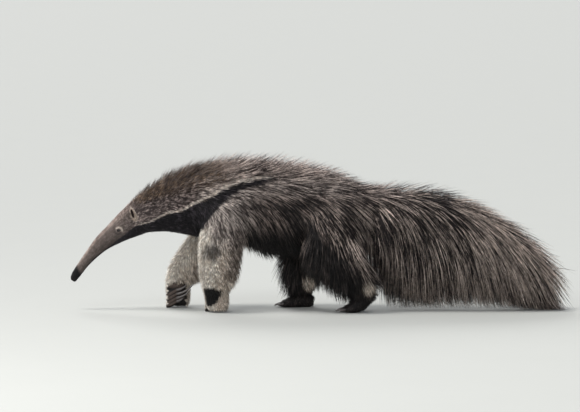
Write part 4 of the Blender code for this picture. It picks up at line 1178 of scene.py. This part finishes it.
def grow_coat(skin, axis):
    """All the coat's pieces."""
    surface = Surface(skin)
    draw = np.random.default_rng(SEED)
    middles = surface.middles
    x, _, degrees = round_body(middles, axis)
    legs = leg_of(middles)
    on_body = legs < 0
    bare = bare_skin(middles, x, surface.outs)
    made = []

    def body_piece(name, mask, density, low, high):
        roots, outs = surface.scatter(np.where(mask & ~bare, density, 0), draw)
        hair = body_hair(roots, outs, axis, draw, low, high)
        made.append(coat_piece(name, hair, surface, axis, draw))

    left = middles[:, 1] < 0
    face = on_body & (x < -0.745)
    fine = DENSITY["face"] + (DENSITY["snout"] - DENSITY["face"]) * ramp(x, -0.80, -0.90)
    body_piece("coat_face", face, fine, -1.0, -0.7)
    neck = on_body & (x >= -0.745) & (x < -0.50)
    body_piece("coat_neck", neck, DENSITY["neck"], -0.8, -0.4)
    trunk = on_body & (x >= -0.50) & (x < DOCK)
    crest = trunk & (degrees < 40)
    body_piece("coat_back", crest, DENSITY["back"], -0.6, 0.3)
    body_piece("coat_flank_left", trunk & ~crest & left, DENSITY["trunk"], -0.6, 0.3)
    body_piece("coat_flank_right", trunk & ~crest & ~left, DENSITY["trunk"], -0.6, 0.3)
    tail = on_body & (x >= DOCK)
    above = degrees < 40
    body_piece("coat_tail_top", tail & above, DENSITY["tail"], 0.2, 0.9)
    body_piece("coat_tail_left", tail & ~above & left, DENSITY["tail"], 0.2, 0.9)
    body_piece("coat_tail_right", tail & ~above & ~left, DENSITY["tail"], 0.2, 0.9)
    for i, key in enumerate(LEG_SPACES):
        pair, side = key
        foot = middles[:, 2] < LEG_SPACES[key][4]
        density = np.where(foot, DENSITY["foot"], DENSITY[f"{pair}leg"])
        roots, outs = surface.scatter(np.where((legs == i) & ~bare, density, 0), draw)
        hair = leg_hair(roots, outs, key, draw)
        name = f"coat_{pair}leg_{SIDE_NAMES[side]}"
        made.append(coat_piece(name, hair, surface, axis, draw))
    return made


def palm(places, side):
    """How surely each place lies on the bare palm of a fist."""
    wrist = LEGS["fore", side][-2]
    x, z = places[:, 0] - wrist.x, places[:, 2]
    wavy = 0.004 * np.sin(z * 260) + 0.003 * np.sin(z * 610 + 1)
    share = ramp((places[:, 1] - wrist.y) * -side, 0.002, 0.008)
    share *= ramp(x + wavy, PALM_FRONT - 0.003, PALM_FRONT + 0.003)
    share *= ramp(x + wavy, PALM_BACK + 0.003, PALM_BACK - 0.003)
    share *= ramp(z - 0.2 * x + 0.004 * np.sin(x * 190), PALM_TOP + 0.003, PALM_TOP - 0.003)
    return share * (places[:, 1] * side > 0.01)


def finger_ridges(places, side):
    """How near each place lies to the middle of a folded finger or of the palm's fold,
    where the palm is painted lighter as light on the ridges.
    """
    wrist = LEGS["fore", side][-2]
    x, z = places[:, 0] - wrist.x, places[:, 2]
    rise = z - (x - FINGER_ROOT.x) * FINGER_WAY.z / FINGER_WAY.x
    away = np.abs(rise[:, None] - np.array(FINGER_HEIGHTS)).min(1)
    fold = np.abs(z - PALM_FOLD.z - (x - PALM_FOLD.x) * PALM_FOLD_WAY.z)
    out = ramp((places[:, 1] - wrist.y) * -side, 0.022, 0.034)
    return np.maximum(ramp(away, 0.0075, 0.0040), ramp(fold, 0.0120, 0.0060)) * out


def bare_skin(places, x, outs):
    """Where no hair grows: the snout's tip, eyes, the inside of the ears, soles
    and the palms of the fists."""
    bare = (x < -0.980) | (places[:, 2] < 0.008)
    for side in (LEFT, RIGHT):
        eye = np.array(eye_centre(side))
        bare |= np.linalg.norm(places - eye, axis=1) < 0.0118
        mouth = np.array(mirrored(EAR_MOUTH, side).normalized())
        bare |= (in_ear(places, side, 0.95) > 0) & ((outs @ mouth) > 0.0)
        bare |= palm(places, side) > 0.5
    return bare


class Wire:
    """A socket that takes part in sums: each operator adds a Math node."""

    def __init__(self, paint, socket):
        self.paint, self.socket = paint, socket

    def _math(self, operation, *values):
        return self.paint.node("ShaderNodeMath", {"operation": operation}, *values)

    def __add__(self, other):
        return self._math("ADD", self, other)

    def __sub__(self, other):
        return self._math("SUBTRACT", self, other)

    def __rsub__(self, other):
        return self._math("SUBTRACT", other, self)

    def __mul__(self, other):
        return self._math("MULTIPLY", self, other)

    def __truediv__(self, other):
        return self._math("DIVIDE", self, other)

    def __pow__(self, other):
        return self._math("POWER", self, other)

    __radd__, __rmul__ = __add__, __mul__


class Paint:
    """A material under construction."""

    def __init__(self, name):
        self.material = bpy.data.materials.new(name)
        self.material.use_nodes = True
        self.tree = self.material.node_tree
        self.shader = self.tree.nodes["Principled BSDF"]

    def node(self, kind, settings, *values, output=0, **named):
        """Adds a node: its settings first, then the values or links of its sockets."""
        made = self.tree.nodes.new(kind)
        for key, value in settings.items():
            if key == "stops":
                self.set_stops(made.color_ramp, value)
            else:
                setattr(made, key, value)
        for socket, value in [*enumerate(values), *named.items()]:
            target = made.inputs[socket]
            if isinstance(value, Wire):
                self.tree.links.new(value.socket, target)
            elif value is not None:
                target.default_value = value
        return Wire(self, made.outputs[output])

    @staticmethod
    def set_stops(ramp_data, stops):
        while len(ramp_data.elements) < len(stops):
            ramp_data.elements.new(0.5)
        for element, (place, colour) in zip(ramp_data.elements, stops):
            element.position = place
            element.color = (*colour, 1)

    def attribute(self, name, output=0):
        return self.node("ShaderNodeAttribute", {"attribute_name": name}, output=output)

    def place(self):
        return self.node("ShaderNodeTexCoord", {}, output=3)

    def noise(self, vector, scale, detail=4.0, roughness=0.55, output=0):
        values = {"Vector": vector, "Scale": scale, "Detail": detail, "Roughness": roughness}
        return self.node("ShaderNodeTexNoise", {}, output=output, **values)

    def stretched(self, vector, scale, turn=(0, 0, 0)):
        return self.node("ShaderNodeMapping", {}, Vector=vector, Scale=scale, Rotation=turn)

    def mix(self, share, one, other, blend="MIX"):
        made = self.tree.nodes.new("ShaderNodeMix")
        made.data_type, made.blend_type = "RGBA", blend
        for socket, value in ((0, share), (6, one), (7, other)):
            if isinstance(value, Wire):
                self.tree.links.new(value.socket, made.inputs[socket])
            else:
                made.inputs[socket].default_value = value
        return Wire(self, made.outputs[2])

    def bump(self, height, strength, distance):
        values = {"Height": height, "Strength": strength, "Distance": distance}
        return self.node("ShaderNodeBump", {}, **values)

    def finish(self, **sockets):
        for name, value in sockets.items():
            target = self.shader.inputs[name.replace("_", " ")]
            if isinstance(value, Wire):
                self.tree.links.new(value.socket, target)
            else:
                target.default_value = value
        return self.material


def found_or(name, make):
    return bpy.data.materials.get(name) or make(name)


def coat_finish():
    """Hair: the tuft's own marking, a little uneven, with a dull gloss."""
    def make(name):
        paint = Paint(name)
        fine = paint.noise(paint.place(), 260.0, 2.0)
        broken = paint.noise(paint.place(), 75.0, 1.0)
        shade = paint.node("ShaderNodeMapRange", {}, fine, 0.3, 0.7, 0.70, 1.30)
        shade = shade * paint.node("ShaderNodeMapRange", {}, broken, 0.34, 0.66, 0.66, 1.34)
        marking = paint.attribute("marking")
        grey = paint.node("ShaderNodeCombineColor", {}, shade, shade, shade)
        colour = paint.mix(1.0, marking, grey, "MULTIPLY")
        return paint.finish(Base_Color=colour, Roughness=0.52, Specular_IOR_Level=0.35)
    return found_or("coat_hair", make)


def skin_finish():
    """Short fur and hide: the markings in a darker tone, painted as shade under
    the coat, with fine hair lines along the lie and, on bare places, small creases."""
    def make(name):
        paint = Paint(name)
        grain = paint.attribute("grain", 1)
        lines = paint.noise(paint.stretched(grain, (90, 900, 1)), 1.0, 3.0)
        soft = paint.noise(paint.stretched(grain, (25, 120, 1)), 1.0, 3.0)
        shade = paint.node("ShaderNodeMapRange", {}, lines, 0.30, 0.70, 0.45, 1.45)
        shade = shade * paint.node("ShaderNodeMapRange", {}, soft, 0.3, 0.7, 0.85, 1.15)
        grey = paint.node("ShaderNodeCombineColor", {}, shade, shade, shade)
        colour = paint.mix(1.0, paint.attribute("marking"), grey, "MULTIPLY")
        normal = paint.bump(lines, 0.55, 0.0012)
        return paint.finish(Base_Color=colour, Roughness=0.62, Normal=normal,
                            Specular_IOR_Level=0.25)
    return found_or("skin_fur", make)


def horn_finish():
    """Claws: dark horn, paler in uneven patches, with lengthwise lines."""
    def make(name):
        paint = Paint(name)
        place = paint.place()
        lines = paint.noise(paint.stretched(place, (60, 700, 260), (0, 0.5, 0)), 1.0, 3.0)
        cloud = paint.noise(place, 60.0, 3.0)
        stops = ((0.25, (0.034, 0.030, 0.027)), (0.52, (0.14, 0.125, 0.110)),
                 (0.76, (0.36, 0.335, 0.30)))
        mixed = lines * 0.55 + cloud * 0.45
        colour = paint.node("ShaderNodeValToRGB", {"stops": stops}, mixed)
        rough = paint.node("ShaderNodeMapRange", {}, cloud, 0.3, 0.7, 0.22, 0.42)
        normal = paint.bump(lines, 0.3, 0.0006)
        return paint.finish(Base_Color=colour, Roughness=rough, Normal=normal)
    return found_or("claw_horn", make)


def eye_finish(side):
    """A dark brown eye: black pupil, faint iris, wet gloss."""
    def make(name):
        paint = Paint(name)
        centre, out = eye_centre(side), eye_out(side)
        off = paint.node("ShaderNodeVectorMath", {"operation": "SUBTRACT"},
                         paint.place(), tuple(centre))
        facing = paint.node("ShaderNodeVectorMath", {"operation": "DOT_PRODUCT"},
                            off, tuple(out / EYE_RADIUS), output=1)
        fleck = paint.noise(paint.place(), 700.0, 3.0)
        level = facing + fleck * 0.03
        stops = ((0.0, (0.008, 0.006, 0.005)), (0.74, (0.008, 0.006, 0.005)),
                 (0.80, (0.022, 0.012, 0.008)), (0.91, (0.014, 0.008, 0.005)),
                 (0.935, (0.002, 0.002, 0.002)))
        colour = paint.node("ShaderNodeValToRGB", {"stops": stops}, level)
        return paint.finish(Base_Color=colour, Roughness=0.10, Coat_Weight=0.25,
                            Coat_Roughness=0.03, Specular_IOR_Level=0.35)
    return found_or(f"eye_{SIDE_NAMES[side]}_wet", make)


def floor_finish():
    def make(name):
        paint = Paint(name)
        uneven = paint.noise(paint.place(), 3.0, 4.0)
        stops = ((0.0, (0.390, 0.400, 0.382)), (1.0, (0.400, 0.410, 0.392)))
        colour = paint.node("ShaderNodeValToRGB", {"stops": stops}, uneven)
        return paint.finish(Base_Color=colour, Roughness=0.9)
    return found_or("pale_floor", make)


def paint_skin(skin, axis):
    """Sets the markings and the hair's grain on the skin, with painted shade under
    the coat and in the ears' hollows, and painted light and shade on the palms.
    """
    places = corners(skin)
    (dark, pale), light = tones_at(places, axis)
    x, _, degrees = round_body(places, axis)
    shown = np.where(x < -0.745, light, 0.45 * light + 0.10)
    colours = dark * (1 - shown[:, None]) + pale * shown[:, None]
    # Painted shade: under the coat, away from the face, the skin is painted darker, as the shade deep
    # in the hair.
    coat_shade = np.where(x < -0.76, 1.0, 0.55) + 0.35 * ramp(x, -0.70, -0.78)
    colours *= np.minimum(coat_shade, 1.0)[:, None]
    for side in (LEFT, RIGHT):
        eye = np.array(eye_centre(side))
        rim = ramp(np.linalg.norm(places - eye, axis=1), 0.0134, 0.0106)[:, None]
        colours = colours * (1 - rim) + tone(34, 27, 25) * rim
        rim = in_ear(places, side, 1.2)[:, None]
        colours = colours * (1 - rim) + EAR[0] * rim
        # Painted shade: the skin inside the ear's hollow is painted dark.
        inner = in_ear(places, side, 0.93)[:, None]
        colours = colours * (1 - inner) + tone(36, 27, 25) * inner
        # The palm's skin is painted lighter on the finger ridges and the fold, and darker in the
        # creases between them, as painted light and shade.
        ridge_light = finger_ridges(places, side)[:, None]
        hide = tone(22, 18, 17) * (1 - ridge_light) + tone(80, 69, 63) * ridge_light
        share = palm(places, side)[:, None]
        colours = colours * (1 - share) + hide * share
    sole = ramp(places[:, 2], 0.010, 0.005)[:, None]
    colours = colours * (1 - sole) + tone(24, 20, 19) * sole
    full = np.ones((len(colours), 4), dtype=np.float32)
    full[:, :3] = colours
    paint = skin.data.color_attributes.new("marking", "FLOAT_COLOR", "POINT")
    paint.data.foreach_set("color", full.ravel())
    middles, _ = axis
    lengths = np.append(0, np.cumsum(np.linalg.norm(np.diff(middles, axis=0), axis=1)))
    along = np.interp(x, middles[:, 0], lengths)
    grain = np.stack([along, np.radians(degrees) * np.sign(places[:, 1]) * 0.06,
                      np.zeros(len(x))], 1)
    legs = leg_of(places)
    for i, key in enumerate(LEG_SPACES):
        mine = legs == i
        around = np.radians(round_leg(places[mine], key)) * 0.045
        grain[mine] = np.stack([places[mine, 2], around, np.zeros(len(around))], 1)
    attribute = skin.data.attributes.new("grain", "FLOAT_VECTOR", "POINT")
    attribute.data.foreach_set("vector", grain.astype(np.float32).ravel())
    skin.data.materials.clear()
    skin.data.materials.append(skin_finish())


def claw(name, base, tip, bow, radius):
    """A bowed horn claw, flattened at its sides."""
    rings = []
    for i in range(9):
        t = i / 8
        centre = base.lerp(tip, t) + bow * 4 * t * (1 - t)
        along = (tip - base) + bow * 4 * (1 - 2 * t)
        size = max(radius * (1 - t) ** 0.75, 0.0004)
        rings.append((centre, section_turn(along), size * 0.7, size))
    made = loft(name, rings, 14)
    made.data.shade_smooth()
    made.data.materials.append(horn_finish())
    return made


def claws():
    """Each claw and the solid that it stands for."""
    made = []
    for side in (LEFT, RIGHT):
        wrist = LEGS["fore", side][-2]
        middle = Vector((wrist.x, wrist.y, 0))
        way = mirrored(FINGER_WAY, -side).normalized()
        for i, (height, length) in enumerate(zip(FINGER_HEIGHTS, FORE_CLAWS)):
            root = middle + mirrored(FINGER_ROOT, -side) + UP * height
            base = root + way * 0.018 + SIDE * -side * 0.006
            tip = base + mirrored(CLAW_WAY, -side).normalized() * length
            bow = mirrored(CLAW_BOW, -side) * length
            label = f"fore_{SIDE_NAMES[side]}_{i + 1}"
            made.append((claw(f"horn_{label}", base, tip, bow, 0.0066), f"claw_{label}"))
        for i, (root, way) in enumerate(toes(side)):
            base = root + way * 0.020 + UP * 0.003
            tip = base + way * 0.026 + DOWN * 0.008
            label = f"hind_{SIDE_NAMES[side]}_{i + 1}"
            horn = claw(f"horn_{label}", base, tip, UP * 0.003, 0.0050)
            made.append((horn, f"claw_{label}"))
    return made


def eyeball(side):
    """An eye with a slightly raised cornea."""
    out = eye_out(side)
    name = f"eyeball_{SIDE_NAMES[side]}"
    made = ball(name, eye_centre(side), (EYE_RADIUS - 0.0002,) * 3, out, UP, 40, 28)
    swell(made, eye_centre(side) + out * EYE_RADIUS, (0.0045,) * 3, 0.0005)
    made.data.shade_smooth()
    made.data.materials.append(eye_finish(side))
    return made


def distant_light(name, way, spread, strength, colour):
    bpy.ops.object.light_add(type="SUN")
    light = bpy.context.object
    light.name = name
    light.rotation_euler = Vector(way).to_track_quat("-Z", "Y").to_euler()
    light.data.angle, light.data.energy, light.data.color = math.radians(spread), strength, colour


def area_light(name, place, target, size, power, colour):
    bpy.ops.object.light_add(type="AREA", location=place)
    light = bpy.context.object
    light.name = name
    light.rotation_euler = (Vector(target) - Vector(place)).to_track_quat("-Z", "Y").to_euler()
    light.data.size, light.data.energy, light.data.color = size, power, colour


def studio():
    """A pale floor, soft light, and the camera where the photograph's was."""
    bpy.ops.mesh.primitive_circle_add(vertices=96, radius=FLOOR_RADIUS, fill_type="NGON")
    floor = bpy.context.object
    floor.name = "floor"
    floor.data.materials.append(floor_finish())
    world = bpy.data.worlds.new("studio")
    bpy.context.scene.world = world
    world.use_nodes = True
    background = world.node_tree.nodes["Background"]
    background.inputs["Color"].default_value = (0.90, 0.93, 1.0, 1)
    background.inputs["Strength"].default_value = 0.62
    distant_light("high_sun", (0.45, 0.10, -1.0), 24, 2.5, (1, 0.97, 0.93))
    distant_light("rim", (0.30, -0.80, -0.62), 30, 1.7, (1, 0.99, 0.97))
    area_light("front", (-2.6, -3.4, 2.6), (-0.2, 0, 0.3), 2.4, 90, (1, 0.98, 0.95))
    target = Vector((-0.116, 0, 0.418))
    lift = math.radians(4.5)
    place = target + Vector((0, -math.cos(lift), math.sin(lift))) * 12.94
    bpy.ops.object.camera_add(location=place)
    camera = bpy.context.object
    camera.rotation_euler = (target - place).to_track_quat("-Z", "Y").to_euler()
    camera.data.lens, camera.data.sensor_width = 200, 36
    camera.data.clip_end = 100
    bpy.context.scene.camera = camera
    bpy.context.scene.view_settings.view_transform = "Standard"


axis = body_axis()
skin = whole_skin()
paint_skin(skin, axis)
coat = grow_coat(skin, axis)
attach(skin, "root")
flesh = [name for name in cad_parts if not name.startswith(("eye_", "claw_"))]
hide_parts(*flesh)
for piece in coat:
    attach(piece, "root")
for piece, node in claws():
    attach(piece, "root")
    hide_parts(node)
for side in (LEFT, RIGHT):
    piece = eyeball(side)
    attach(piece, "root")
    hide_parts(f"eye_{SIDE_NAMES[side]}")
studio()
